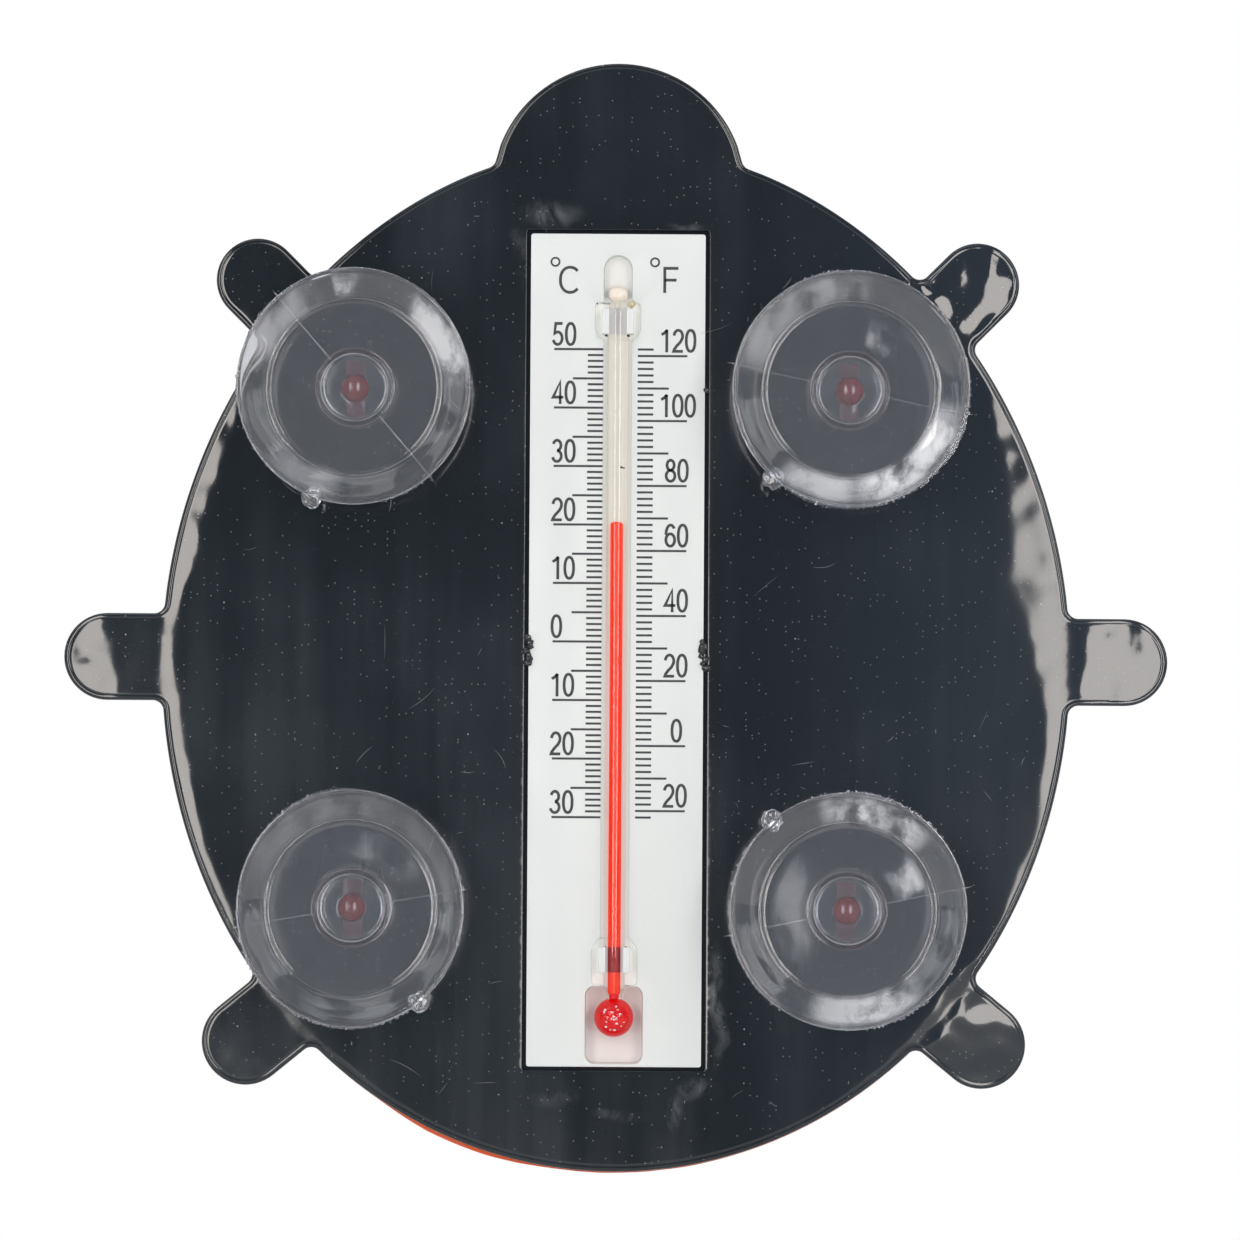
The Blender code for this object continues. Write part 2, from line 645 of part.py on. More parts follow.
def make_adhesive(parts, cream, clear):
    mesh = bpy.data.meshes.new("tip_adhesive")
    form = bmesh.new()
    bmesh.ops.create_icosphere(form, subdivisions=2, radius=1.0)
    bmesh.ops.scale(form, vec=(0.0019, 0.0012, 0.0010), verts=form.verts)
    form.to_mesh(mesh)
    form.free()
    mesh.shade_smooth()
    blob = add_mesh("tip_adhesive", mesh, parts, cream)
    blob.location = (0, TUBE_Y + 0.0004, TIP_TOP_Z + GAP + 0.0011)

    bead_rear = BACK_REAR_Y + PLATE_THICKNESS + GAP
    bead_front = RECESS_FLOOR_Y - GAP
    for label, middle, side in (("upper", 0.0600, -1), ("lower", -0.0560, 1)):
        centre = side * 0.0107
        outline = rounded_rectangle((centre - 0.0030, middle - 0.0070), (centre + 0.0030, middle + 0.0070),
                                    0.002)
        slab("plate_adhesive_" + label, outline, bead_rear, bead_front, parts, clear)


def peg_profile():
    ball = sphere_profile(BALL_RADIUS, 0.0, 0.0, PIN_RADIUS, 8)
    profile = [(radius, BALL_Y - height) for radius, height in ball]
    profile += [(PIN_RADIUS, BARB_END_Y - 0.0010), (BARB_RADIUS, BARB_END_Y - 0.0010)]
    profile += [(PIN_RADIUS, BARB_END_Y), (0.0, BARB_END_Y)]
    return profile


def make_pegs(parts, cutters, red):
    for label, place in cup_places().items():
        peg = turned_from_window("peg_" + label, peg_profile(), place, PEG_STEPS, parts, red)
        bar = box("peg_bar_" + label,
                  (place[0] - BAR_HALF_WIDTH, BAR_REAR_Y, place[1] - BAR_HALF_HEIGHT),
                  (place[0] + BAR_HALF_WIDTH, BACK_REAR_Y - GAP, place[1] + BAR_HALF_HEIGHT),
                  cutters, bevel=0.0003)
        combine(peg, as_cutter(bar), "UNION")


def cup_profile():
    """From the middle of the hollow out to the lip, back along the neck and into the socket."""
    hollow = [(0.0, CUP_HOLLOW_DEPTH), (0.0072, CUP_HOLLOW_DEPTH - 0.0001), (0.0108, 0.0040),
              (0.0146, 0.0026), (CUP_RADIUS - CUP_LIP_LAND, 0.0)]
    outside = [(CUP_RADIUS, 0.0), (CUP_RADIUS, 0.0006), (CUP_RIDGE_RADIUS + 0.0004, 0.0031),
               (CUP_RIDGE_RADIUS, 0.0041), (0.0112, 0.0058), (0.0084, 0.0070),
               (CUP_NECK_RADIUS, 0.0086), (CUP_NECK_RADIUS, CUP_NECK_END_Y)]
    socket = sphere_profile(SOCKET_RADIUS, 0.0, SOCKET_MOUTH_RADIUS, 0.0, 6)
    mouth_y = BALL_Y + math.sqrt(SOCKET_RADIUS ** 2 - SOCKET_MOUTH_RADIUS ** 2)
    inside = [(SOCKET_MOUTH_RADIUS, CUP_NECK_END_Y), (SOCKET_MOUTH_RADIUS, mouth_y)]
    inside += [(radius, BALL_Y + height) for radius, height in socket[1:]]
    return hollow + outside + inside


def make_cups(parts, clear):
    for label, place in cup_places().items():
        turned_from_window("cup_" + label, cup_profile(), place, CUP_STEPS, parts, clear)


def main():
    clear_scene()
    parts = new_collection("beetle_window_thermometer")
    cutters = new_collection("cutters")
    black = make_material("black_plastic", (0.018, 0.020, 0.024), 0.25)
    orange = make_material("orange_plastic", (0.78, 0.12, 0.02), 0.28)
    white = make_material("white_plastic", (0.82, 0.84, 0.82), 0.45)
    glass = make_material("glass", (0.80, 0.77, 0.68), 0.05, transmission=0.9)
    spirit = make_material("red_spirit", (0.85, 0.02, 0.01), 0.15)
    peg_red = make_material("red_plastic", (0.45, 0.03, 0.03), 0.35)
    clear = make_material("clear_pvc", (0.72, 0.68, 0.72), 0.12, transmission=0.9)
    cream = make_material("cream_adhesive", (0.80, 0.72, 0.52), 0.5)
    smear = make_material("clear_adhesive", (0.60, 0.60, 0.56), 0.4)
    make_back_plate(parts, cutters, black)
    make_front_shell(parts, orange)
    make_head_cap(parts, cutters, black)
    make_scale_plate(parts, cutters, white)
    make_thermometer(parts, glass, spirit)
    make_adhesive(parts, cream, smear)
    make_pegs(parts, cutters, peg_red)
    make_cups(parts, clear)


main()
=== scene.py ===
"""Looks for the beetle-shaped window thermometer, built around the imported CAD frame.

Metres, +Z up towards the head, +X right as seen through the window, +Y away from
the pane. The cup lips lie in the plane Y = 0. Lengths written as 1.5 * MM are
millimetres.
"""
import math
import random

import bmesh
import bpy
import numpy as np
from mathutils import Matrix, Vector, geometry, noise


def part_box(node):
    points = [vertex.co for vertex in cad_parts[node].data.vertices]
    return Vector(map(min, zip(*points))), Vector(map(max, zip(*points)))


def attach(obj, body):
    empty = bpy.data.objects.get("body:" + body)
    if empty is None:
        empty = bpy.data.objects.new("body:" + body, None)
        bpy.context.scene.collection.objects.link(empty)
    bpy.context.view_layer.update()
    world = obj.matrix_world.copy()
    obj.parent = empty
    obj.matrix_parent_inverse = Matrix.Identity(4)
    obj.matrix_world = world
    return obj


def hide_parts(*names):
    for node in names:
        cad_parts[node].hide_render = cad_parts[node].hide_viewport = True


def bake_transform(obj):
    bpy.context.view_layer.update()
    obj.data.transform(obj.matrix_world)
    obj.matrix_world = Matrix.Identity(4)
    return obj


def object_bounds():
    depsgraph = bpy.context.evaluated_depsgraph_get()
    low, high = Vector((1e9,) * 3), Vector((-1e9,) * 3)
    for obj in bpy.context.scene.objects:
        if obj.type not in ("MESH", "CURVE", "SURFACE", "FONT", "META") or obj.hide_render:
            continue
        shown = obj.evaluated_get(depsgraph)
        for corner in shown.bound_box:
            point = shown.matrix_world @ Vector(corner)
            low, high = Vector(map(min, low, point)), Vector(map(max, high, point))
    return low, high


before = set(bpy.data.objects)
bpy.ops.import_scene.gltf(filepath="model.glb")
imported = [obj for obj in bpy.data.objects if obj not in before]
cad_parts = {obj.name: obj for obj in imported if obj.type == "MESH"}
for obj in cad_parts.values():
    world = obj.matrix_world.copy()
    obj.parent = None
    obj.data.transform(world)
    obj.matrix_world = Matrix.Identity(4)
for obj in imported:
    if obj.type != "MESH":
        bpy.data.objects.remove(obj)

cad_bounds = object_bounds()
MM = 0.001
scene = bpy.context.scene

# ------------------------------------------------------------------ the frame
TAB_REACH = 2.6 * MM        # how far the clip tabs stand out behind the scale plate
REAR_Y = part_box("scale_plate")[0].y + TAB_REACH     # rear face of the scale plate and of the black back
TUBE_LOW, TUBE_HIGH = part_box("glass_tube")
LEVEL_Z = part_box("liquid_meniscus")[1].z
TUBE_X = (TUBE_LOW.x + TUBE_HIGH.x) / 2
TUBE_Y = (TUBE_LOW.y + TUBE_HIGH.y) / 2
CORNERS = ("upper_left", "upper_right", "lower_left", "lower_right")


def mm(*lengths):
    """Lengths in millimetres as a tuple in metres."""
    return tuple(length * MM for length in lengths)


def node_middle(node):
    low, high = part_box(node)
    return (low + high) / 2


def bind(piece, body, slot, *nodes):
    """Puts a piece on a body and hides the CAD nodes that it stands for; the slot is not used."""
    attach(piece, body)
    if nodes:
        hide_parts(*nodes)


# ----------------------------------------------------------------- dimensions
BODY_HALF_WIDTH = 77.3 * MM
BODY_MIDDLE_Z = -2.2 * MM
UPPER_RISE = mm(84.8, 3.4)      # parts of the body's height that follow the sine and its cube
LOWER_DROP = mm(87.4, -1.0)
LIMBS = (   # tip centre x and z and radius in mm, direction in degrees anticlockwise from the right
    (86.5, -1.6, 7.4, 0.0),
    (61.35, 62.7, 7.05, 45.0),
    (0.0, 78.3, 21.6, 90.0),
    (-61.35, 62.7, 7.05, 135.0),
    (-86.5, -1.6, 7.4, 180.0),
    (-62.55, -66.8, 7.44, 219.3),
    (62.55, -66.8, 7.44, 320.7),
)
HEAD_DIRECTION = 90.0
FILLET = 1.8 * MM               # between a limb and the body
PLATE_HALF = mm(14.85, 70.8)
ZERO_C_Z = 1.4 * MM
METRES_PER_DEGREE_C = 0.995 * MM
HIGHLIGHT_DEPTHS = mm(8.6, 8.0)        # depths between which the painted highlights on a ball fade in
TAB_MIDDLES = mm(55.8, -52.6)       # heights of the two clips that hold the tube
TAB_SPAN = mm(2.3, 2.0)             # half heights between which a clip's shade fades in
BULB_Z = -62.4 * MM


# --------------------------------------------------------------------- camera
def make_camera():
    """Nearly straight on, a little from below, with a slight roll."""
    distance = 1.25
    elevation = math.radians(-1.2)
    roll = math.radians(0.35)
    seen_width = 210.8 * MM
    target = Vector((0.65 * MM, REAR_Y, 5.1 * MM))
    away = Vector((0, -math.cos(elevation), math.sin(elevation)))
    data = bpy.data.cameras.new("camera")
    data.sensor_width = 36.0
    data.lens = 36.0 * distance / seen_width
    data.clip_start = 0.05
    camera = bpy.data.objects.new("camera", data)
    scene.collection.objects.link(camera)
    camera.location = target + away * distance
    turn = (-away).to_track_quat("-Z", "Y").to_matrix().to_4x4()
    camera.matrix_world = (Matrix.Translation(camera.location) @ turn
                           @ Matrix.Rotation(roll, 4, "Z"))
    scene.camera = camera


make_camera()
scene.view_settings.view_transform = "Standard"


# ------------------------------------------------------------- material tools
class Nodes:
    """A node tree and short ways to add nodes to it."""

    def __init__(self, tree, coordinates):
        self.tree = tree
        self.place = tree.nodes.new("ShaderNodeTexCoord").outputs[coordinates]

    def add(self, kind, **inputs):
        node = self.tree.nodes.new(kind)
        for name, value in inputs.items():
            self.feed(node.inputs[name.replace("_", " ")], value)
        return node

    def feed(self, socket, value):
        if isinstance(value, bpy.types.NodeSocket):
            self.tree.links.new(value, socket)
        else:
            socket.default_value = value

    def moved(self, scale=(1, 1, 1), turn=(0, 0, 0), shift=(0, 0, 0), source=None):
        node = self.add("ShaderNodeMapping", Vector=source or self.place)
        node.inputs["Scale"].default_value = scale
        node.inputs["Rotation"].default_value = turn
        node.inputs["Location"].default_value = shift
        return node.outputs[0]

    def noise(self, scale, detail=3.0, roughness=0.5, stretch=(1, 1, 1), turn=(0, 0, 0), distortion=0.0):
        node = self.add("ShaderNodeTexNoise", Vector=self.moved(stretch, turn), Scale=scale,
                        Detail=detail, Roughness=roughness, Distortion=distortion)
        return node.outputs["Fac"]

    def math(self, operation, *values):
        node = self.tree.nodes.new("ShaderNodeMath")
        node.operation = operation
        for socket, value in zip(node.inputs, values):
            self.feed(socket, value)
        return node.outputs[0]

    def times(self, first, second):
        return self.math("MULTIPLY", first, second)

    def plus(self, first, second):
        return self.math("ADD", first, second)

    def most(self, first, second):
        return self.math("MAXIMUM", first, second)

    def apart(self, first, second):
        return self.math("ABSOLUTE", self.math("SUBTRACT", first, second), 0.0)

    def length(self, vector):
        node = self.add("ShaderNodeVectorMath", Vector=vector)
        node.operation = "LENGTH"
        return node.outputs["Value"]

    def between(self, value, low, high, out_low=0.0, out_high=1.0):
        node = self.tree.nodes.new("ShaderNodeMapRange")
        node.interpolation_type = "SMOOTHSTEP"
        for socket, item in zip(node.inputs, (value, low, high, out_low, out_high)):
            self.feed(socket, item)
        return node.outputs[0]

    def mix(self, amount, first, second):
        node = self.tree.nodes.new("ShaderNodeMix")
        node.data_type = "RGBA"
        for socket, value in ((node.inputs[0], amount), (node.inputs[6], first), (node.inputs[7], second)):
            self.feed(socket, (*value, 1) if isinstance(value, tuple) else value)
        return node.outputs[2]

    def mottled(self, scale, detail, first, second):
        return self.mix(self.noise(scale, detail), first, second)

    def ramp(self, value, *stops):
        """A colour ramp with stops of (position, colour)."""
        node = self.tree.nodes.new("ShaderNodeValToRGB")
        self.feed(node.inputs[0], value)
        elements = node.color_ramp.elements
        while len(elements) < len(stops):
            elements.new(0.5)
        for element, (position, colour) in zip(elements, stops):
            element.position = position
            element.color = (*colour, 1)
        return node.outputs[0]

    def axis(self, letter, source=None):
        node = self.add("ShaderNodeSeparateXYZ", Vector=source or self.place)
        return node.outputs[letter]

    def flat(self):
        """The place seen from behind: x and z as x and y."""
        return self.add("ShaderNodeCombineXYZ", X=self.axis("X"), Y=self.axis("Z")).outputs[0]


class Paint(Nodes):
    """A material with a Principled shader."""

    def __init__(self, name, colour, roughness, **sockets):
        self.material = bpy.data.materials.new(name)
        self.material.use_nodes = True
        super().__init__(self.material.node_tree, "Object")
        self.shader = self.tree.nodes["Principled BSDF"]
        self.shader.inputs["Base Color"].default_value = (*colour, 1)
        self.shader.inputs["Roughness"].default_value = roughness
        for socket, value in sockets.items():
            self.shader.inputs[socket.replace("_", " ")].default_value = value

    def patch(self, centre, reach, softness=0.35, wobble=0.0, wobble_scale=300.0):
        """1 in the middle of an ellipse with centre and reach (x, z), fading to 0 at its edge."""
        place = self.place
        if wobble:
            rough = self.add("ShaderNodeTexNoise", Vector=self.place, Scale=wobble_scale, Detail=4.0)
            offset = self.add("ShaderNodeVectorMath", Vector=rough.outputs["Color"])
            offset.operation = "MULTIPLY_ADD"
            offset.inputs[1].default_value = (wobble, 0, wobble)
            self.feed(offset.inputs[2], self.place)
            place = offset.outputs[0]
        scale = (1 / reach[0], 0.0, 1 / reach[1])
        shift = (-(centre[0] + wobble / 2) / reach[0], 0, -(centre[1] + wobble / 2) / reach[1])
        return self.between(self.length(self.moved(scale, shift=shift, source=place)), 1.0, 1.0 - softness)

    def cells(self, scale):
        """Flat cells: their random colour and the distance from their middles."""
        node = self.add("ShaderNodeTexVoronoi", Vector=self.flat(), Scale=scale)
        node.voronoi_dimensions = "2D"
        return node.outputs["Color"], node.outputs["Distance"]

    def colour(self, value):
        self.feed(self.shader.inputs["Base Color"], value)

    def rough(self, value):
        self.feed(self.shader.inputs["Roughness"], value)

    def uneven_gloss(self, scale, detail, low, high):
        self.rough(self.between(self.noise(scale, detail), 0.3, 0.7, low, high))

    def glow(self, colour, strength):
        self.feed(self.shader.inputs["Emission Color"], colour)
        self.shader.inputs["Emission Strength"].default_value = strength

    def bump(self, height, distance, strength=1.0):
        node = self.add("ShaderNodeBump", Height=height, Distance=distance, Strength=strength)
        self.tree.links.new(node.outputs[0], self.shader.inputs["Normal"])


GLUE_SMEARS = (     # centre x and z and reach x and z in mm, strength
    (-11.5, 74.6, 7.0, 3.2, 1.0), (-17.2, 66.0, 1.8, 7.5, 0.7), (17.6, -60.0, 1.7, 14.0, 1.0),
    (14.5, -74.5, 5.5, 3.0, 0.9), (10.5, -78.5, 2.2, 4.5, 0.7), (-10.5, -76.5, 5.0, 2.4, 0.5),
    (1.5, -79.0, 6.5, 1.6, 0.6), (12.5, 72.6, 4.5, 0.9, 0.6),
)


def black_plastic():
    """Glossy black moulding: faint upright wipe marks, dust, scratches, dried glue, and painted light that
    turns the right side lighter and bluer.
    """
    paint = Paint("black_plastic", (0.011, 0.013, 0.016), 0.08, IOR=1.56)
    streaks = paint.noise(60, 4, 0.6, stretch=(1, 1, 0.07))
    cloud = paint.noise(22, 3, 0.5)
    wipe = paint.between(paint.times(streaks, cloud), 0.16, 0.42)
    haze_and_side_light = paint.mix(wipe, (0.0055, 0.0072, 0.0092), (0.0165, 0.0208, 0.0250))
    dust, distance = paint.cells(360.0)
    kept = paint.between(paint.axis("X", dust), 0.955, 0.965)
    size = paint.between(paint.axis("Y", dust), 0, 1, 0.015, 0.05)
    speck = paint.times(paint.math("LESS_THAN", distance, size), kept)
    grit, distance = paint.cells(900.0)
    few = paint.between(paint.axis("X", grit), 0.86, 0.90)
    grain = paint.times(paint.math("LESS_THAN", distance, 0.10), few)
    fine = paint.noise(2600, 2, 0.5)
    lint = paint.times(paint.between(fine, 0.70, 0.76), cloud)
    glue = 0.0
    for x, z, reach_x, reach_z, strength in GLUE_SMEARS:
        patch = paint.patch(mm(x, z), mm(reach_x, reach_z), 0.9, 6 * MM, 110)
        glue = paint.most(glue, paint.times(patch, strength))
    brushed = paint.noise(230, 6, 0.7, stretch=(1, 1, 0.55), turn=(0, 0.6, 0), distortion=0.8)
    brushed = paint.between(brushed, 0.36, 0.66)
    glue = paint.times(glue, brushed)
    marks = paint.most(paint.times(speck, 0.5), paint.times(lint, 0.22))
    marks = paint.most(marks, paint.times(grain, 0.24))
    # Painted light: the back turns lighter and bluer towards the right.
    painted_light_right = paint.between(paint.axis("X"), 10 * MM, 65 * MM, 0, 0.7)
    haze_and_side_light = paint.mix(painted_light_right, haze_and_side_light, (0.017, 0.0225, 0.030))
    tinted = paint.mix(paint.times(glue, 0.45), haze_and_side_light, (0.13, 0.14, 0.15))
    paint.colour(paint.mix(marks, tinted, (0.48, 0.48, 0.45)))
    gloss = paint.plus(paint.between(wipe, 0, 1, 0.07, 0.14), paint.times(glue, 0.2))
    paint.rough(paint.plus(gloss, paint.times(marks, 0.3)))
    waves = paint.plus(paint.noise(48, 3, 0.5, stretch=(1, 1, 0.45)),
                       paint.times(fine, 0.02))
    paint.bump(paint.plus(waves, paint.times(glue, 0.3)), 0.10 * MM, 0.5)
    return paint.material


def flecked(name, dark, pale):
    """Tiny marks, such as lint, dirt, crumbs and painted glints, between two colours."""
    paint = Paint(name, pale, 0.5)
    paint.colour(paint.mottled(400, 3, dark, pale))
    return paint.material


def orange_plastic():
    """Glossy orange-red wing cases with plain painted black spots and a black neck."""
    paint = Paint("orange_plastic", (0.76, 0.10, 0.018), 0.25, IOR=1.5)
    mottled = paint.mottled(40, 3, (0.72, 0.085, 0.014), (0.80, 0.125, 0.022))
    spots = 0.0
    for x, z, reach in ((33, 38, 11), (46, -8, 12), (27, -47, 11), (0, 12, 10)):
        for side in (-1, 1):
            spot = paint.patch(mm(side * x, z), mm(reach, reach), 0.05, 0.5 * MM)
            spots = paint.most(spots, spot)
    neck = paint.patch(mm(0, 92), mm(38, 27), 0.03, 0.5 * MM)
    spots = paint.most(spots, neck)
    front = paint.between(paint.axis("Y"), REAR_Y + 4 * MM, REAR_Y + 4.3 * MM)
    painted = paint.times(spots, front)
    dust = paint.between(paint.noise(2400, 2), 0.72, 0.8)
    shell = paint.mix(painted, mottled, (0.012, 0.012, 0.013))
    paint.colour(paint.mix(paint.times(dust, 0.25), shell, (0.6, 0.56, 0.5)))
    paint.uneven_gloss(70, 4, 0.16, 0.3)
    paint.bump(paint.plus(paint.noise(45, 2), paint.times(painted, 0.4)), 0.12 * MM, 0.5)
    return paint.material


def head_plastic():
    """The front half of the head: glossy black with two pale painted cheeks."""
    paint = Paint("head_plastic", (0.011, 0.012, 0.014), 0.2, IOR=1.5)
    cheeks = paint.most(*(paint.patch(mm(side * 10.5, 90.0), mm(4.0, 3.2), 0.06)
                          for side in (-1, 1)))
    base = paint.mottled(60, 3, (0.009, 0.010, 0.012), (0.018, 0.02, 0.023))
    paint.colour(paint.mix(cheeks, base, (0.72, 0.70, 0.64)))
    paint.uneven_gloss(80, 4, 0.14, 0.3)
    paint.bump(paint.noise(60, 2), 0.1 * MM, 0.5)
    return paint.material


def white_plastic():
    """Satin white plate, very slightly cool and cloudy, with a little dust.

    The moulded walls of the channel, clips and pocket are greyer with painted shade, and the floor around
    the bulb has a painted pink reflection of it. Everything set back from the rear face has a painted glow,
    full along the channel and clips and weaker at the tip and in the pocket, standing in for the light that
    thin white plastic lets through from behind.
    """
    paint = Paint("white_plastic", (0.68, 0.70, 0.68), 0.42, IOR=1.48)
    depth, height = paint.axis("Y"), paint.axis("Z")

    def past(first, second):
        """0 to 1 between two depths in mm, counted from the rear face."""
        return paint.between(depth, REAR_Y + first * MM, REAR_Y + second * MM)

    cloudy = paint.mottled(30, 4, (0.590, 0.612, 0.600), (0.630, 0.652, 0.640))
    grime = paint.between(paint.noise(900, 3, 0.6), 0.66, 0.78)
    # Painted reflection: the floor around the bulb is tinted pink, as if lit by the red bulb.
    red_bounce = paint.patch(mm(0, -64), mm(11, 15), 0.4)
    deep = past(2.1, 2.3)
    floors = paint.mix(deep, cloudy, (0.625, 0.625, 0.60))
    red_bounced_floors = paint.mix(paint.times(red_bounce, deep), floors, (0.625, 0.59, 0.575))
    # Painted shade: the walls of the channel, clips and pocket are greyer.
    channel_wall = paint.times(past(0.25, 0.5), past(2.25, 2.0))
    pocket_wall = paint.times(past(2.5, 2.7), past(3.95, 3.8))
    edges = paint.times(paint.most(channel_wall, pocket_wall), 0.35)
    shaded_tone = paint.mix(edges, red_bounced_floors, (0.30, 0.31, 0.27))
    # Painted glow on everything set back from the rear face: full along the channel and clips, weaker at the
    # tip and in the pocket.
    below_top = paint.between(height, *mm(60.6, 59.4))
    above_pocket = paint.between(height, *mm(-58.0, -56.6))
    narrow = paint.times(below_top, above_pocket)
    glow = paint.times(past(0.1, 0.4), paint.between(narrow, 0, 1, 0.30, 1.0))
    paint.glow(paint.mix(glow, (0, 0, 0), shaded_tone), 0.48)
    paint.colour(paint.mix(paint.times(grime, 0.12), shaded_tone, (0.35, 0.34, 0.31)))
    paint.uneven_gloss(55, 3, 0.34, 0.5)
    paint.bump(paint.noise(700, 3), 0.02 * MM, 0.5)
    return paint.material


def print_ink():
    paint = Paint("print_ink", (0.035, 0.035, 0.042), 0.5)
    patchiness = paint.between(paint.noise(1500, 3), 0.35, 0.75)
    paint.colour(paint.mix(patchiness, (0.016, 0.016, 0.021), (0.034, 0.034, 0.042)))
    return paint.material


def tube_glass():
    """Clear glass of the tube; the bulb's glass is a little lumpy in front."""
    paint = Paint("tube_glass", (0.99, 0.985, 0.965), 0.02, IOR=1.47, Transmission_Weight=1.0)
    paint.rough(paint.between(paint.noise(200, 2, stretch=(1, 1, 0.05)), 0.3, 0.7, 0.0, 0.01))
    bulb = paint.patch((TUBE_X, BULB_Z), mm(2.7, 2.7), 0.5)
    lumps = paint.times(paint.noise(1500, 2, 0.6), bulb)
    paint.bump(lumps, 0.35 * MM, 0.8)
    return paint.material


def tube_enamel():
    """Beige strip fused into the back of the tube, with fine upright lines; painted dark lines for the bore's
    walls, a painted pink reflection of the red spirit lower down, painted shade that makes it greyer behind
    the clips, and a painted glow.
    """
    paint = Paint("tube_enamel", (0.78, 0.73, 0.60), 0.45, IOR=1.5, Specular_IOR_Level=0.1)
    lines = paint.noise(1300, 1, 0.4, stretch=(1, 1, 0.002))
    beige = paint.mix(paint.between(lines, 0.35, 0.65), (0.735, 0.705, 0.63), (0.785, 0.755, 0.68))
    across = paint.axis("X")
    # Painted shade: dark lines where the bore's walls would show through the glass.
    painted_bore_lines = 0.0
    for offset, strength in ((-0.62, 0.5), (-0.18, 0.35), (0.12, 0.3), (0.66, 0.5)):
        line = paint.between(paint.apart(across, TUBE_X + offset * MM), 0.07 * MM, 0.02 * MM)
        painted_bore_lines = paint.most(painted_bore_lines, paint.times(line, strength))
    beige = paint.mix(painted_bore_lines, beige, (0.52, 0.49, 0.41))
    height = paint.axis("Z")
    # Painted reflection: the strip turns pink below the thread's top, as if lit by the red spirit.
    red_lit = paint.mix(paint.between(height, 0.02, -0.01), beige, (0.78, 0.73, 0.69))
    # Painted shade: greyer where a clip's hole lies behind the strip.
    behind = 0.0
    for middle in TAB_MIDDLES:
        behind = paint.most(behind, paint.between(paint.apart(height, middle), *TAB_SPAN))
    streaks = paint.mix(paint.between(lines, 0.3, 0.6), (0.42, 0.41, 0.42), (0.64, 0.62, 0.62))
    shade = paint.mix(behind, red_lit, streaks)
    # Painted glow: the base colour is darkened and the strip lit by a glow of its own shade.
    paint.colour(paint.mix(0.6, shade, (0.05, 0.05, 0.045)))
    paint.glow(shade, 0.57)
    paint.rough(paint.between(lines, 0.3, 0.7, 0.6, 0.7))
    return paint.material


def red_spirit():
    """Bright red thread with a painted highlight along its middle, painted shade where a clip's hole lies
    behind it, and a painted glow.
    """
    paint = Paint("red_spirit", (0.95, 0.03, 0.008), 0.25, IOR=1.36, Specular_IOR_Level=0.2)
    # Painted highlight: lighter along the thread's middle.
    middle = paint.between(paint.apart(paint.axis("X"), TUBE_X),
                           0.20 * MM, 0.05 * MM)
    grain = paint.noise(300, 2, stretch=(1, 1, 0.1))
    middle_highlight = paint.times(middle, paint.between(grain, 0.2, 0.8, 0.6, 1.0))
    bright = paint.mix(middle_highlight, (1.0, 0.034, 0.002), (1.0, 0.100, 0.055))
    # Painted shade: darker where the lower clip's hole lies behind the thread.
    away = paint.apart(paint.axis("Z"), TAB_MIDDLES[1])
    shade = paint.mix(paint.between(away, *TAB_SPAN), bright, (0.34, 0.010, 0.014))
    paint.colour(shade)
    # Painted glow of the thread's own colour.
    paint.glow(shade, 0.22)
    paint.rough(paint.between(grain, 0.3, 0.7, 0.3, 0.45))
    return paint.material


def bulb_spirit():
    paint = Paint("bulb_spirit", (0.66, 0.0, 0.008), 0.12, IOR=1.36, Specular_IOR_Level=0.1)
    shade = paint.mottled(350, 3, (0.58, 0.0, 0.001), (0.68, 0.0, 0.003))
    paint.colour(shade)
    # Painted glow: the bulb's filling gives off light of its own red.
    paint.glow(shade, 0.42)
    paint.uneven_gloss(900, 3, 0.15, 0.35)
    return paint.material


def arc_patch(paint, degrees, half_width, inner, outer):
    """1 on part of a ring around the origin, fading to 0 past its ends and edges (angles, mm)."""
    turn = math.radians(degrees)
    x, z = paint.axis("X"), paint.axis("Z")
    along = paint.plus(paint.times(x, math.cos(turn)),
                       paint.times(z, math.sin(turn)))
    radius = paint.length(paint.flat())
    facing = paint.math("DIVIDE", along, paint.most(radius, 1e-5))
    edge, core = math.cos(math.radians(half_width)), math.cos(math.radians(half_width * 0.35))
    around = paint.between(facing, edge, core)
    ring = paint.times(paint.between(radius, (inner - 1.2) * MM, (inner + 0.6) * MM),
                       paint.between(radius, (outer + 0.3) * MM, (outer - 1.4) * MM))
    return paint.times(around, ring)


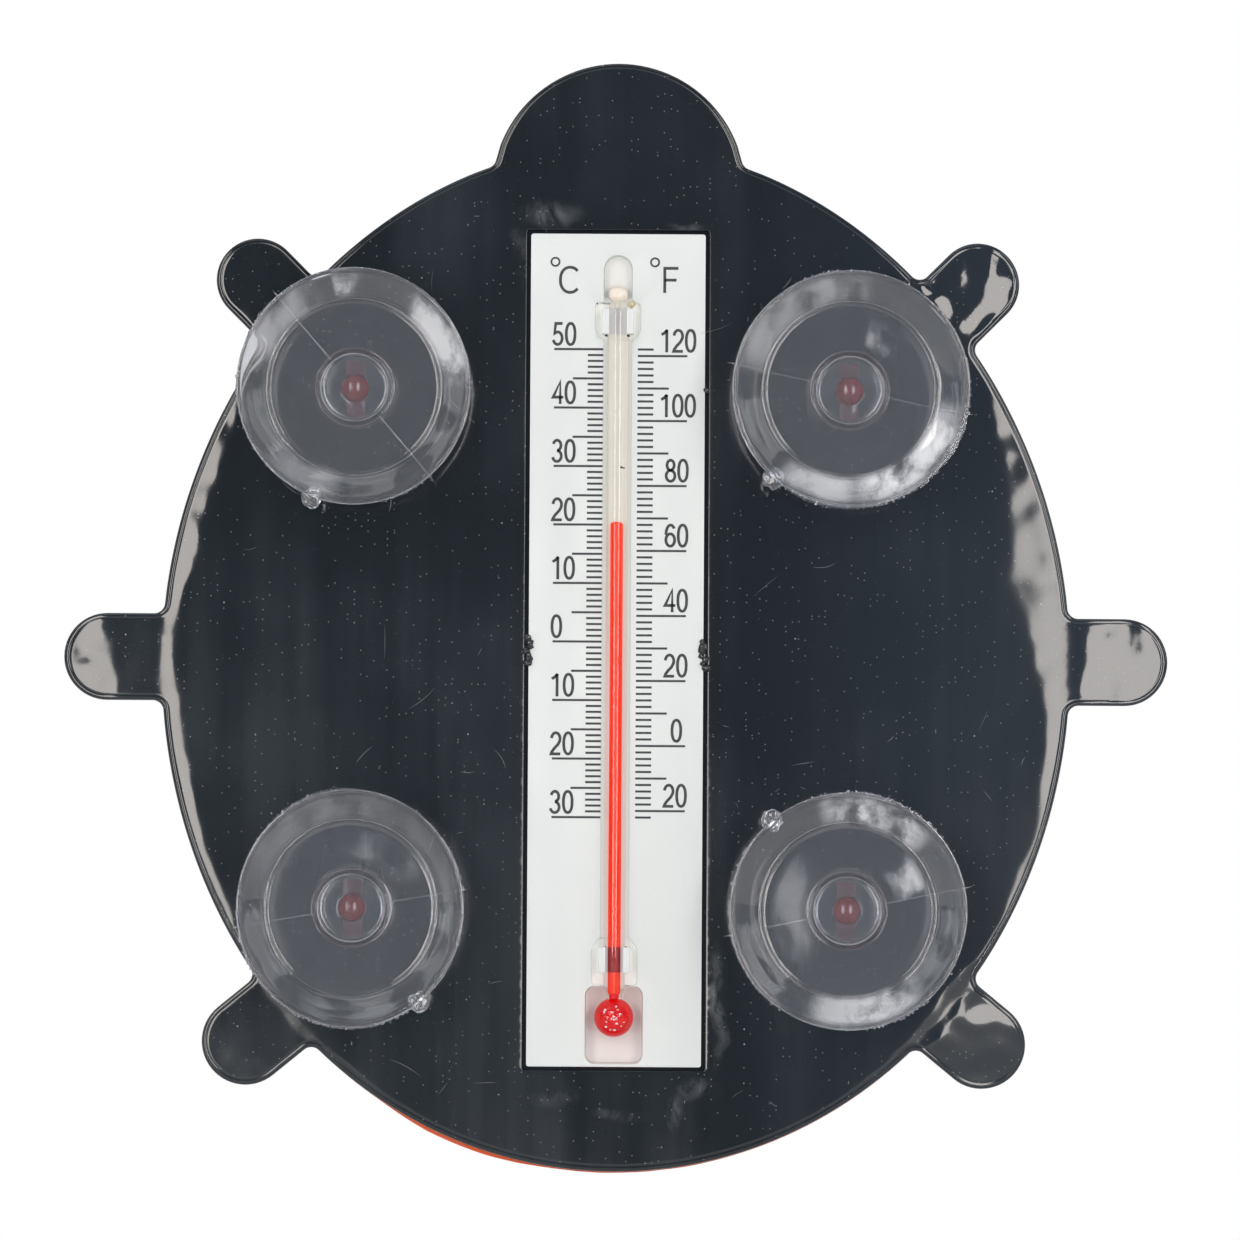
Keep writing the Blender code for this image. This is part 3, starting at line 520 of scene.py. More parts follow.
def clear_vinyl(corner, painted_sheens):
    """Clear soft PVC: faintly lilac, with soft wipe marks and patches of painted sheen, paler and less clear,
    that stand in for reflections.
    """
    paint = Paint("clear_vinyl_" + corner, (0.93, 0.92, 0.945), 0.04, IOR=1.5, Transmission_Weight=0.965)
    cloudy = paint.noise(120, 4, 0.6)
    # Painted sheen: pale, less clear patches on parts of each cup's rings, standing in for reflections.
    painted_sheen = 0.0
    for degrees, half_width, inner, outer, strength in painted_sheens:
        patch = paint.times(arc_patch(paint, degrees, half_width, inner, outer), strength)
        painted_sheen = paint.most(painted_sheen, patch)
    patchiness = paint.between(paint.noise(170, 4, 0.6, stretch=(1, 1, 0.6)), 0.36, 0.60)
    painted_sheen = paint.times(painted_sheen, patchiness)
    clear = paint.mix(cloudy, (0.86, 0.87, 0.92), (0.94, 0.95, 0.98))
    paint.colour(paint.mix(painted_sheen, clear, (0.80, 0.80, 0.80)))
    paint.feed(paint.shader.inputs["Transmission Weight"], paint.math("SUBTRACT", 0.962, painted_sheen))
    specks = paint.between(paint.noise(1800, 2), 0.72, 0.8)
    gloss = paint.between(cloudy, 0.3, 0.7, 0.02, 0.07)
    paint.rough(paint.plus(gloss, paint.times(specks, 0.2)))
    paint.bump(paint.noise(60, 2, 0.5), 0.12 * MM, 0.35)
    return paint.material


def vinyl_edge():
    """Torn and squeezed PVC at the mould seam, the gate and the rim: whiter than the rest."""
    paint = Paint("vinyl_edge", (0.86, 0.84, 0.87), 0.3, IOR=1.5, Transmission_Weight=0.55)
    paint.colour(paint.mottled(900, 3, (0.74, 0.72, 0.76), (0.93, 0.91, 0.93)))
    paint.uneven_gloss(700, 3, 0.15, 0.45)
    paint.bump(paint.noise(1500, 3), 0.1 * MM, 0.5)
    return paint.material


def red_plastic():
    paint = Paint("red_plastic", (0.30, 0.012, 0.018), 0.14, IOR=1.55)
    red = paint.mottled(300, 3, (0.17, 0.003, 0.006), (0.24, 0.006, 0.010))
    # Painted highlights: two lighter spots on the front of each ball, where the soft boxes would show.
    painted_highlights = 0.0
    for corner in CORNERS:
        middle = node_middle("peg_" + corner)
        for side in (-0.75, 0.55):
            spot = paint.patch((middle.x + side * MM, middle.z + 0.2 * MM), mm(0.42, 1.1), 0.9)
            painted_highlights = paint.most(painted_highlights, spot)
    facing = paint.between(paint.axis("Y"), *HIGHLIGHT_DEPTHS)
    paint.colour(paint.mix(paint.times(painted_highlights, facing), red, (0.62, 0.36, 0.38)))
    paint.uneven_gloss(500, 3, 0.03, 0.08)
    paint.bump(paint.noise(600, 2), 0.05 * MM, 0.4)
    return paint.material


def dried_glue(name, colour, clear):
    paint = Paint(name, colour, 0.3, IOR=1.48, Transmission_Weight=clear)
    darker = tuple(0.82 * c for c in colour)
    paint.colour(paint.mottled(700, 3, darker, colour))
    paint.uneven_gloss(500, 3, 0.18, 0.5)
    paint.bump(paint.noise(800, 3), 0.2 * MM, 0.6)
    return paint.material


def pale_floor():
    paint = Paint("pale_floor", (0.86, 0.86, 0.86), 0.8)
    paint.colour(paint.mottled(3, 2, (0.85, 0.85, 0.85), (0.875, 0.875, 0.875)))
    return paint.material


BLACK = black_plastic()
LINT = flecked("lint_grey", (0.05, 0.055, 0.06), (0.20, 0.20, 0.19))
LINT_DARK = flecked("dark_dirt", (0.006, 0.006, 0.006), (0.03, 0.03, 0.03))
CRUMB = flecked("vinyl_crumb", (0.55, 0.54, 0.57), (0.80, 0.78, 0.82))
# Painted highlights: bright lumps that stand in for glints on the bulb.
GLINT_PAINT = flecked("glint_paint", (0.75, 0.62, 0.64), (0.95, 0.92, 0.92))
ORANGE = orange_plastic()
HEAD = head_plastic()
WHITE = white_plastic()
INK = print_ink()
GLASS = tube_glass()
ENAMEL = tube_enamel()
SPIRIT = red_spirit()
BULB = bulb_spirit()
# Patches of painted sheen on each cup, standing in for its reflections.
VINYL_PAINTED_SHEENS = {   # direction and half width in degrees, inner and outer radius in mm, strength
    "upper_left": ((32, 34, 15.2, 19.6, 0.50), (94, 9, 16.0, 19.4, 0.45), (138, 30, 15.2, 19.6, 0.22),
                   (-120, 26, 15.2, 19.6, 0.12)),
    "upper_right": ((-48, 46, 15.2, 19.7, 0.62), (-108, 26, 15.4, 19.6, 0.35), (58, 18, 8.5, 13.0, 0.25),
                    (140, 34, 15.2, 19.6, 0.18), (100, 24, 15.2, 19.6, 0.2)),
    "lower_left": ((60, 40, 9.0, 13.8, 0.10), (100, 70, 15.4, 19.6, 0.08)),
    "lower_right": ((74, 36, 15.2, 19.6, 0.62), (29, 20, 9.0, 14.0, 0.40), (-78, 38, 15.2, 19.6, 0.36),
                    (180, 60, 8.0, 13.0, 0.12)),
}
VINYL = {corner: clear_vinyl(corner, painted_sheens) for corner, painted_sheens in VINYL_PAINTED_SHEENS.items()}
VINYL_EDGE = vinyl_edge()
RED = red_plastic()
CREAM = dried_glue("cream_glue", (0.82, 0.735, 0.63), 0.0)
AMBER = dried_glue("amber_glue", (0.72, 0.62, 0.38), 0.3)
CLEAR_GLUE = dried_glue("clear_glue", (0.62, 0.62, 0.58), 0.6)


# ----------------------------------------------------------------- mesh tools
def add_object(name, mesh, material):
    obj = bpy.data.objects.new(name, mesh)
    scene.collection.objects.link(obj)
    obj.data.materials.clear()
    obj.data.materials.append(material)
    return obj


def shade(mesh, sharp=None):
    """Smooth shading, with edges sharp from an angle in degrees."""
    mesh.shade_smooth()
    if sharp:
        mesh.set_sharp_from_angle(angle=math.radians(sharp))


def object_from(form, name, material, sharp=None):
    mesh = bpy.data.meshes.new(name)
    form.to_mesh(mesh)
    form.free()
    shade(mesh, sharp)
    return add_object(name, mesh, material)


def mesh_from(name, vertices, faces, material, sharp=None, weld=1e-7, slim=0.0):
    """Welded faces with their normals outwards; edges shorter than slim are dissolved."""
    mesh = bpy.data.meshes.new(name)
    mesh.from_pydata([tuple(v) for v in vertices], [], [tuple(f) for f in faces])
    form = bmesh.new()
    form.from_mesh(mesh)
    bpy.data.meshes.remove(mesh)
    bmesh.ops.remove_doubles(form, verts=form.verts, dist=weld)
    bmesh.ops.recalc_face_normals(form, faces=form.faces)
    if slim:
        bmesh.ops.dissolve_degenerate(form, edges=form.edges, dist=slim)
    return object_from(form, name, material, sharp)


def quads(rows, count, closed=True, looped=False):
    """Faces between rows of points; closed joins each row's ends, looped the last row to the first."""
    faces = []
    for k in range(rows if looped else rows - 1):
        here, after = k * count, (k + 1) % rows * count
        for i in range(count if closed else count - 1):
            j = (i + 1) % count
            faces.append((here + i, here + j, after + j, after + i))
    return faces


def capped(rows, count):
    """Faces of a tube made of closed rows of points, with both ends filled."""
    last = rows * count
    return [tuple(range(count)), tuple(range(last - 1, last - count - 1, -1))] + quads(rows, count)


def applied(obj):
    """Replaces an object's mesh by what its modifiers make of it."""
    graph = bpy.context.evaluated_depsgraph_get()
    mesh = bpy.data.meshes.new_from_object(obj.evaluated_get(graph))
    obj.modifiers.clear()
    obj.data = mesh
    return obj


def cut(target, tool, operation="DIFFERENCE"):
    modifier = target.modifiers.new("cut", "BOOLEAN")
    modifier.operation = operation
    modifier.solver = "EXACT"
    modifier.object = tool
    bpy.context.view_layer.update()
    applied(target)
    bpy.data.objects.remove(tool, do_unlink=True)
    return target


def joined(name, objects):
    """Several pieces of one body as one object that keeps their materials."""
    form = bmesh.new()
    materials = []
    bpy.context.view_layer.update()
    for obj in objects:
        part = obj.data.copy()
        part.transform(obj.matrix_world)
        if part.materials[0] not in materials:
            materials.append(part.materials[0])
        first = len(form.faces)
        form.from_mesh(part)
        form.faces.ensure_lookup_table()
        for face in form.faces[first:]:
            face.material_index = materials.index(part.materials[0])
    mesh = bpy.data.meshes.new(name)
    form.to_mesh(mesh)
    form.free()
    for obj in objects:
        bpy.data.objects.remove(obj, do_unlink=True)
    whole = add_object(name, mesh, materials[0])
    for material in materials[1:]:
        whole.data.materials.append(material)
    return whole


def rounded_box(name, low, high, material, bevel):
    form = bmesh.new()
    bmesh.ops.create_cube(form, size=1.0)
    low, high = Vector(low), Vector(high)
    for vertex in form.verts:
        vertex.co = [low[i] + (vertex.co[i] + 0.5) * (high[i] - low[i]) for i in range(3)]
    bmesh.ops.bevel(form, geom=form.edges[:], offset=bevel, segments=3, profile=0.5, affect="EDGES")
    return object_from(form, name, material, 50)


def arc(centre, radius, start, end, steps):
    angles = [start + (end - start) * i / steps for i in range(steps + 1)]
    return [(centre[0] + radius * math.cos(a), centre[1] + radius * math.sin(a)) for a in angles]


def rounded_rectangle(low, high, corner, steps=5):
    (x0, z0), (x1, z1) = low, high
    centres = [(x1 - corner, z0 + corner), (x1 - corner, z1 - corner),
               (x0 + corner, z1 - corner), (x0 + corner, z0 + corner)]
    points = []
    for i, centre in enumerate(centres):
        points += arc(centre, corner, (i - 1) * math.pi / 2, i * math.pi / 2, steps)
    return points


def prism(name, outline, rear, front, taper=0.0):
    """A white slab with the outline (x, z) between two depths, its front end narrower by the taper."""
    outline = [Vector(p) for p in outline]
    vertices = [(x, rear, z) for x, z in outline] + [(x, front, z) for x, z in inward(outline, taper)]
    return mesh_from(name, vertices, capped(2, len(outline)), WHITE, sharp=35)


def smooth_profile(points, rounds=2):
    """Corner-cutting that keeps both ends."""
    for _ in range(rounds):
        finer = [points[0]]
        for (r0, h0), (r1, h1) in zip(points, points[1:]):
            finer.append((0.75 * r0 + 0.25 * r1, 0.75 * h0 + 0.25 * h1))
            finer.append((0.25 * r0 + 0.75 * r1, 0.25 * h0 + 0.75 * h1))
        points = finer + [points[-1]]
    return points


def turned(name, profile, place, material, steps=96, upright=False, closed=False, sharp=38):
    """A turned piece: profile of (radius, depth from the pane), or of (radius, height) if upright."""
    vertices = []
    for k in range(steps):
        angle = 2 * math.pi * k / steps
        for radius, along in profile:
            x, other = radius * math.cos(angle), radius * math.sin(angle)
            spot = (x, other, along) if upright else (x, along, other)
            vertices.append(Vector(spot) + Vector(place))
    faces = quads(steps, len(profile), closed, looped=True)
    return mesh_from(name, vertices, faces, material, sharp, weld=1e-6, slim=1e-7)


def sphere_arc(radius, middle, start_radius, end_radius, steps):
    start = math.asin(start_radius / radius)
    end = math.pi - math.asin(end_radius / radius)
    points = []
    for i in range(steps + 1):
        angle = start + (end - start) * i / steps
        points.append((max(0.0, radius * math.sin(angle)), middle + radius * math.cos(angle)))
    return points


# -------------------------------------------------------------------- outline
def body_point(angle, growth=0.0):
    sine = math.sin(angle)
    plain, cubed = UPPER_RISE if sine >= 0 else LOWER_DROP
    return Vector(((BODY_HALF_WIDTH + growth) * math.cos(angle),
                   BODY_MIDDLE_Z + plain * sine + cubed * sine ** 3 + growth * sine))


def limb_distance(point, tip, heading):
    offset = point - tip
    return (offset - heading * min(offset.dot(heading), 0.0)).length


def meeting_angle(tip, radius, heading, side):
    """Angle at which the body's edge meets one side of a limb."""
    middle = math.atan2(tip.y - BODY_MIDDLE_Z, tip.x)
    inside, outside = middle, middle + side * math.radians(26)
    for _ in range(40):
        angle = (inside + outside) / 2
        if limb_distance(body_point(angle), tip, heading) < radius:
            inside = angle
        else:
            outside = angle
    return inside


def fillet(before, corner, after, radius, steps=6):
    to_before = (before - corner).normalized()
    to_after = (after - corner).normalized()
    half = to_before.angle(to_after) / 2
    centre = corner + (to_before + to_after).normalized() * radius / math.sin(half)
    reach = radius / math.tan(half)
    start = corner + to_before * reach - centre
    end = corner + to_after * reach - centre
    return [centre + start.lerp(end, i / steps).normalized() * radius for i in range(steps + 1)]


def back_outline():
    """Body, head and legs in one line of points (x, z), anticlockwise."""
    limbs = []
    for x, z, radius, degrees in LIMBS:
        tip = Vector((x * MM, z * MM))
        direction = math.radians(degrees)
        heading = Vector((math.cos(direction), math.sin(direction)))
        radius *= MM
        enter = meeting_angle(tip, radius, heading, -1)
        leave = meeting_angle(tip, radius, heading, 1)
        limbs.append((tip, radius, direction, enter, leave, degrees == HEAD_DIRECTION))
    points = []
    step = math.radians(1.0)
    for i, (tip, radius, direction, enter, leave, is_head) in enumerate(limbs):
        following = limbs[(i + 1) % len(limbs)][3]
        following += 2 * math.pi * (following < leave)
        half_turn = math.pi / 2
        if is_head:
            first = body_point(enter) - tip
            half_turn = direction - math.atan2(first.y, first.x)
        steps = 48 if is_head else 28
        tip_arc = [Vector(p) for p in arc(tip, radius, direction - half_turn, direction + half_turn, steps)]
        if is_head:
            tip_arc = tip_arc[3:-3]
        gap = 3.5 * MM / BODY_HALF_WIDTH
        points += fillet(body_point(enter - gap), body_point(enter), tip_arc[0], FILLET)
        points += tip_arc
        points += fillet(tip_arc[-1], body_point(leave), body_point(leave + gap), FILLET)
        start, end = leave + gap, following - gap
        count = max(2, round((end - start) / step))
        points += [body_point(start + (end - start) * k / count) for k in range(count + 1)]
    return evenly(points, 0.55 * MM)


def evenly(points, step):
    """The same closed line with points a step apart, or denser where it was."""
    result = []
    for here, after in zip(points, points[1:] + points[:1]):
        count = max(1, round((after - here).length / step))
        result += [here.lerp(after, k / count) for k in range(count)]
    cleaned = [result[0]]
    for point in result[1:]:
        if (point - cleaned[-1]).length > 0.12 * MM:
            cleaned.append(point)
    return cleaned


def inward(points, distance):
    """The closed line moved inwards (it runs anticlockwise)."""
    moved = []
    count = len(points)
    for i, point in enumerate(points):
        along = (points[(i + 1) % count] - points[i - 1]).normalized()
        moved.append(point + Vector((-along.y, along.x)) * distance)
    return moved


def contains(loop, places):
    """Which of the places (an N by 2 array) lie inside the loop."""
    ring = np.array([(p[0], p[1]) for p in loop])
    after = np.roll(ring, -1, axis=0)
    inside = np.zeros(len(places), bool)
    x, z = places[:, 0], places[:, 1]
    for (x0, z0), (x1, z1) in zip(ring, after):
        if z0 == z1:
            continue
        crosses = (z0 > z) != (z1 > z)
        inside ^= crosses & (x < (x1 - x0) * (z - z0) / (z1 - z0) + x0)
    return inside


def sheet(outer, holes, spacing, depth_at):
    """Vertices and triangles that fill a closed line around some holes."""
    box = np.array([(p[0], p[1]) for p in outer])
    xs = np.arange(box[:, 0].min(), box[:, 0].max(), spacing)
    zs = np.arange(box[:, 1].min(), box[:, 1].max(), spacing * 0.87)
    grid = np.array([(x + (row % 2) * spacing / 2, z) for row, z in enumerate(zs) for x in xs])
    keep = contains(inward(outer, 0.5 * spacing), grid)
    for hole in holes:
        keep &= ~contains(inward(hole, -0.5 * spacing), grid)
    places, edges = [], []
    for loop in [outer] + holes:
        first = len(places)
        places += [Vector((p[0], p[1])) for p in loop]
        edges += [(first + i, first + (i + 1) % len(loop)) for i in range(len(loop))]
    places += [Vector(p) for p in grid[keep]]
    found = geometry.delaunay_2d_cdt(places, edges, [], 0, 1e-9)
    corners = np.array([(v.x, v.y) for v in found[0]])
    triangles = np.array([f for f in found[2] if len(f) == 3])
    middles = corners[triangles].mean(axis=1)
    inside = contains(outer, middles)
    for hole in holes:
        inside &= ~contains(hole, middles)
    vertices = [(x, depth_at(x, z), z) for x, z in corners]
    return vertices, triangles[inside].tolist()


class Builder:
    """Collects rings and sheets into one mesh."""

    def __init__(self):
        self.vertices = []
        self.faces = []

    def add(self, vertices, faces):
        first = len(self.vertices)
        self.vertices += vertices
        self.faces += [tuple(first + i for i in face) for face in faces]

    def band(self, rings):
        """Joins closed rings of equal length."""
        self.add([v for ring in rings for v in ring], quads(len(rings), len(rings[0])))


# ----------------------------------------------------------------- back plate
FLANK_SLOPE = 0.088
BODY_RISE, BODY_DROP = mm(88.2, 86.4)       # the body's height above and below its widest line
LEVEL_HALF_WIDTH, FADE_WIDTH = 22, 26       # in mm: level middle, then where the slope grows to its full
LEFT_BANDS = ((-60, 1.0), (-45, 1.6), (-25, 2.6), (-10, 3.0), (-2, 2.0), (6, 2.4), (16, 4.3), (28, 4.0),
              (42, 3.0), (60, 1.5))   # height and width of the sloping edge, in mm
RIGHT_BANDS = ((-70, 0.8), (-58, 2.6), (-45, 1.2), (-30, 1.8), (-18, 3.2), (-6, 4.6), (2, 7.0), (12, 8.8),
               (24, 6.4), (34, 4.4), (45, 3.0), (60, 1.5))


def ramp(value, softness):
    """Zero below zero and rising one for one above it, with a soft bend."""
    if value <= -softness / 2:
        return 0.0
    if value >= softness / 2:
        return value
    return (value + softness / 2) ** 2 / (2 * softness)


LEG_BENDS = {   # (side, row): length that stays level in mm, slope beyond it
    (-1, 0): (9.0, 0.10), (1, 0): (2.5, 0.10),
    (-1, 1): (3.0, 0.07), (1, 1): (0.0, 0.24),
    (-1, -1): (8.0, 0.01), (1, -1): (1.2, 0.135),
}


def crown(x, z):
    """How far the rear surface falls away: sloping flanks, and legs bent back at their tips."""
    rise = BODY_RISE if z > BODY_MIDDLE_Z else BODY_DROP
    spread = math.hypot(x / BODY_HALF_WIDTH, (z - BODY_MIDDLE_Z) / rise)
    inside = (1 - spread) * BODY_HALF_WIDTH
    heights, widths = zip(*(RIGHT_BANDS if x > 0 else LEFT_BANDS))
    band = float(np.interp(z / MM, heights, widths)) * MM
    spot = Vector((x, 0, z))
    wander = noise.noise(spot * 85) * 1.3 * MM + noise.noise(spot * 260 + Vector((7, 0, 0))) * 0.45 * MM
    sideways = min(1.0, max(0.0, (abs(x) / MM - LEVEL_HALF_WIDTH) / FADE_WIDTH))
    sideways *= sideways * (3 - 2 * sideways)
    turned_out = max(0.5, abs(x) / (spread * BODY_HALF_WIDTH)) if spread > 0.1 else 1.0
    slope = FLANK_SLOPE * sideways / turned_out
    fall = slope * ramp(band + wander * min(1, band / (2 * MM)) - max(inside, 0.0), 1.2 * MM)
    if inside < 0:
        row = 0 if abs(z) < 20 * MM else int(math.copysign(1, z))
        level, bend = LEG_BENDS[(int(math.copysign(1, x)), row)]
        fall += bend * sideways * ramp(-inside - level * MM + 1.8 * wander, 1.2 * MM)
    return fall


def circle_loop(centre, radius, steps=40):
    return [Vector(p) for p in arc(centre, radius, 0, 2 * math.pi * (steps - 1) / steps, steps - 1)]


def make_back_plate():
    outline = back_outline()
    thickness = 1.9 * MM
    floor_y = REAR_Y + 3.0 * MM
    pan_y = floor_y + 1.5 * MM
    play = 0.7 * MM             # between the scale plate and the recess that it lies in
    half_x, half_z = PLATE_HALF[0] + play, PLATE_HALF[1] + play
    pan_wall = 1.6 * MM

    def rear(x, z):
        return REAR_Y + crown(x, z)

    def front(x, z):
        return REAR_Y + crown(x, z) * 0.6 + thickness

    build = Builder()
    lip = [(0.40, 1.0), (0.15, 0.95), (0.0, 0.80), (0.0, 0.34), (0.05, 0.17), (0.17, 0.05), (0.36, -0.015),
           (0.60, -0.025), (0.78, -0.01), (0.90, 0.02), (1.05, 0.0), (1.35, 0.0), (1.7, 0.0), (2.1, 0.0),
           (2.6, 0.0), (3.2, 0.0), (3.9, 0.0)]   # inset in mm, share of the thickness
    rings = [[(x, rear(x, z) + (front(x, z) - rear(x, z)) * share, z)
              for x, z in inward(outline, inset * MM)] for inset, share in lip]
    build.band(rings)
    recess = [Vector(p) for p in rounded_rectangle((-half_x, -half_z), (half_x, half_z), 0.5 * MM)]
    recess = evenly(recess, 1.5 * MM)
    rim = [(0.12, 0.0), (0.05, 0.02), (0.02, 0.05), (0.0, 0.12), (0.0, 1.5)]
    build.band([[(x, REAR_Y + deep * MM, z) for x, z in inward(recess, -out * MM)] for out, deep in rim]
               + [[(x, floor_y, z) for x, z in recess]])
    slot = evenly([Vector(p) for p in rounded_rectangle(
        (-6.9 * MM, -PLATE_HALF[1] - 0.3 * MM), (6.9 * MM, 69.4 * MM), 0.6 * MM)], 2 * MM)
    pan = evenly([Vector(p) for p in rounded_rectangle(
        (-half_x - pan_wall, -half_z - pan_wall), (half_x + pan_wall, half_z + pan_wall), 1 * MM)], 2 * MM)
    build.add(*sheet(recess, [slot], 4 * MM, lambda x, z: floor_y))
    build.band([[(x, floor_y, z) for x, z in slot], [(x, pan_y, z) for x, z in slot]])
    build.add(*sheet(pan, [slot], 4 * MM, lambda x, z: pan_y))
    build.band([[(x, pan_y, z) for x, z in pan], [(x, front(x, z), z) for x, z in pan]])
    holes = []
    for corner in CORNERS:
        middle = node_middle("peg_" + corner)
        hole = circle_loop((middle.x, middle.z), 1.8 * MM, 28)
        holes.append(hole)
        build.band([[(x, rear(x, z), z) for x, z in hole], [(x, front(x, z), z) for x, z in hole]])
    edge = [Vector((x, z)) for x, _, z in rings[-1]]
    build.add(*sheet(edge, [inward(recess, -0.12 * MM)] + holes, 1.1 * MM, rear))
    far_edge = [Vector((x, z)) for x, _, z in rings[0]]
    build.add(*sheet(far_edge, [pan] + holes, 3 * MM, front))
    plate = mesh_from("back_shell", build.vertices, build.faces, BLACK, sharp=32, weld=2e-6)
    bind(plate, "root", "black_plastic", "back_plate")
    return plate


def make_crimps():
    """Melted nibs that hold the scale plate's long edges, and a small nick in the right edge."""
    draw = random.Random(11)
    for side, label in ((-1, "left"), (1, "right")):
        lumps = []
        for k in range(7):
            z = (-2.3 + 0.72 * k + draw.uniform(-0.2, 0.2)) * MM
            if side > 0:
                z -= 0.6 * MM
            x = side * (PLATE_HALF[0] + draw.uniform(-0.25, 0.5) * MM)
            lumps.append(lump("crimp_lump", (x, REAR_Y - 0.05 * MM, z),
                              (draw.uniform(0.45, 0.8) * MM, 0.42 * MM, draw.uniform(0.4, 0.7) * MM),
                              BLACK, draw.random() * 9, 0.35))
        if side > 0:
            lumps.append(lump("nick", (PLATE_HALF[0] + 0.3 * MM, REAR_Y, 44.3 * MM),
                              (0.5 * MM, 0.3 * MM, 0.6 * MM), BLACK, 3.0, 0.3))
        nibs = joined("crimp_" + label, lumps)
        bind(nibs, "root", "black_plastic")


def lump(name, place, reach, material, seed, roughness, subdivisions=3):
    """A small irregular blob."""
    form = bmesh.new()
    bmesh.ops.create_icosphere(form, subdivisions=subdivisions, radius=1.0)
    for vertex in form.verts:
        swell = 1 + roughness * noise.noise(vertex.co * 1.7 + Vector((seed, seed, seed)))
        vertex.co = Vector([place[i] + vertex.co[i] * reach[i] * swell for i in range(3)])
    return object_from(form, name, material)


def make_ejector_marks():
    """Faint rings that the mould's ejector pins left, just above or below each peg."""
    for corner in CORNERS:
        middle = node_middle("peg_" + corner)
        up = 7.9 * MM if corner.startswith("upper") else -8.3 * MM
        ridge = [(3.9 * MM, REAR_Y + 0.05 * MM), (4.0 * MM, REAR_Y - 0.06 * MM),
                 (4.15 * MM, REAR_Y - 0.06 * MM), (4.25 * MM, REAR_Y + 0.05 * MM)]
        ring = turned("ejector_mark_" + corner, ridge, (middle.x, 0, middle.z + up), BLACK, 64, closed=True)
        bind(ring, "root", "black_plastic")


def make_hairlines():
    """Hair-thin scratches and lint lying on the black back."""
    draw = random.Random(29)
    build = Builder()
    made = 0
    while made < 60:
        x, z = draw.uniform(-80, 80) * MM, draw.uniform(-84, 92) * MM
        spread = math.hypot(x / BODY_HALF_WIDTH, (z - BODY_MIDDLE_Z) / (87 * MM))
        if spread > 0.93 or (abs(x) < 18 * MM and abs(z) < 74 * MM):
            continue
        turn = draw.uniform(0, 2 * math.pi)
        bend = draw.uniform(-0.12, 0.12)
        length = draw.choice((0.8, 1.2, 1.6, 2.5, 4.0, 6.0)) * MM
        points = [Vector((x, z))]
        for _ in range(8):
            points.append(points[-1] + Vector((math.cos(turn), math.sin(turn))) * length / 8)
            turn += bend * draw.uniform(0.2, 1.4)
        width = draw.uniform(0.025, 0.055) * MM
        rows = []
        for i, point in enumerate(points):
            along = (points[min(i + 1, 8)] - points[max(i - 1, 0)]).normalized()
            side = Vector((-along.y, along.x)) * width * math.sin(math.pi * (i + 0.6) / 9.2)
            ridge = ((point + side, 0.0), (point, -0.04 * MM), (point - side, 0.0))
            rows.append([(px, REAR_Y + crown(px, pz) + deep, pz) for (px, pz), deep in ridge])
        build.add([v for row in rows for v in row], quads(len(rows), 3, closed=False))
        made += 1
    lint = mesh_from("hairlines", build.vertices, build.faces, LINT, weld=1e-9)
    bind(lint, "root", "black_plastic")


# ---------------------------------------------------------------- front shell
SHELL_LOW, SHELL_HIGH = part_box("front_shell")
SHELL_RIM_Y = SHELL_LOW.y
SHELL_SKIRT = 2.2 * MM
SHELL_WALL = 1.8 * MM
SHELL_RIM_INSET = 0.1 * MM
SHELL_SHIFT = Vector((-0.12 * MM, -0.6 * MM))
SHELL_ROUNDNESS = 2.2


def dome_grid(outline_at, middle, rim_y, depth, roundness, skirt, sectors, rings, groove=0.0):
    """Rings of points from the rim's skirt up to the crown of a dome."""
    rows = []
    turns = [2 * math.pi * k / sectors for k in range(sectors)]
    if skirt:
        rows.append([(*outline_at(t), rim_y) for t in turns])
    for i in range(rings + 1):
        climb = math.pi / 2 * i / rings
        spread = math.cos(climb)
        row = []
        for t in turns:
            place = middle + (outline_at(t) - middle) * spread
            height = depth * max(0.0, 1 - spread ** roundness) ** (1 / roundness)
            if groove:
                height -= groove * math.exp(-(place.x / (0.7 * MM)) ** 2) * min(1, height / (4 * MM))
            row.append((place.x, place.y, rim_y + skirt + height))
        rows.append(row)
    return rows


def dome_faces(rows, count):
    """The faces between a dome's rows, seen from outside."""
    return [(a, d, c, b) for a, b, c, d in quads(rows, count)]


def dome_object(name, rows, wall, material, sharp=40):
    """A dome of even wall from its rows of (x, z, y)."""
    vertices = [(x, y, z) for row in rows for x, z, y in row]
    obj = mesh_from(name, vertices, dome_faces(len(rows), len(rows[0])), material, weld=1e-6)
    if max(obj.data.vertices, key=lambda v: v.co.y).normal.y < 0:
        obj.data.flip_normals()
    solid = obj.modifiers.new("wall", "SOLIDIFY")
    solid.thickness = wall
    solid.offset = -1
    shade(applied(obj).data, sharp)
    return obj


SHELL_TURNS = (0, 180, 225, 239, 246, 254, 262, 285, 300, 360)       # degrees around the rim
SHELL_SWELL = (0, -0.12, -0.40, -0.30, 0.22, 0.22, -0.2, -0.25, -0.2, 0)   # how far it stands out, mm


def shell_outline(growth=0.0):
    def at(angle):
        turn = math.degrees(angle) % 360
        swell = float(np.interp(turn, SHELL_TURNS, SHELL_SWELL)) * MM
        nibbled = noise.noise(Vector((turn * 0.9, 4.0, 0))) * 0.16 * MM if 256 < turn < 284 else 0.0
        return SHELL_SHIFT + body_point(angle, growth + swell + nibbled - SHELL_RIM_INSET)
    return at


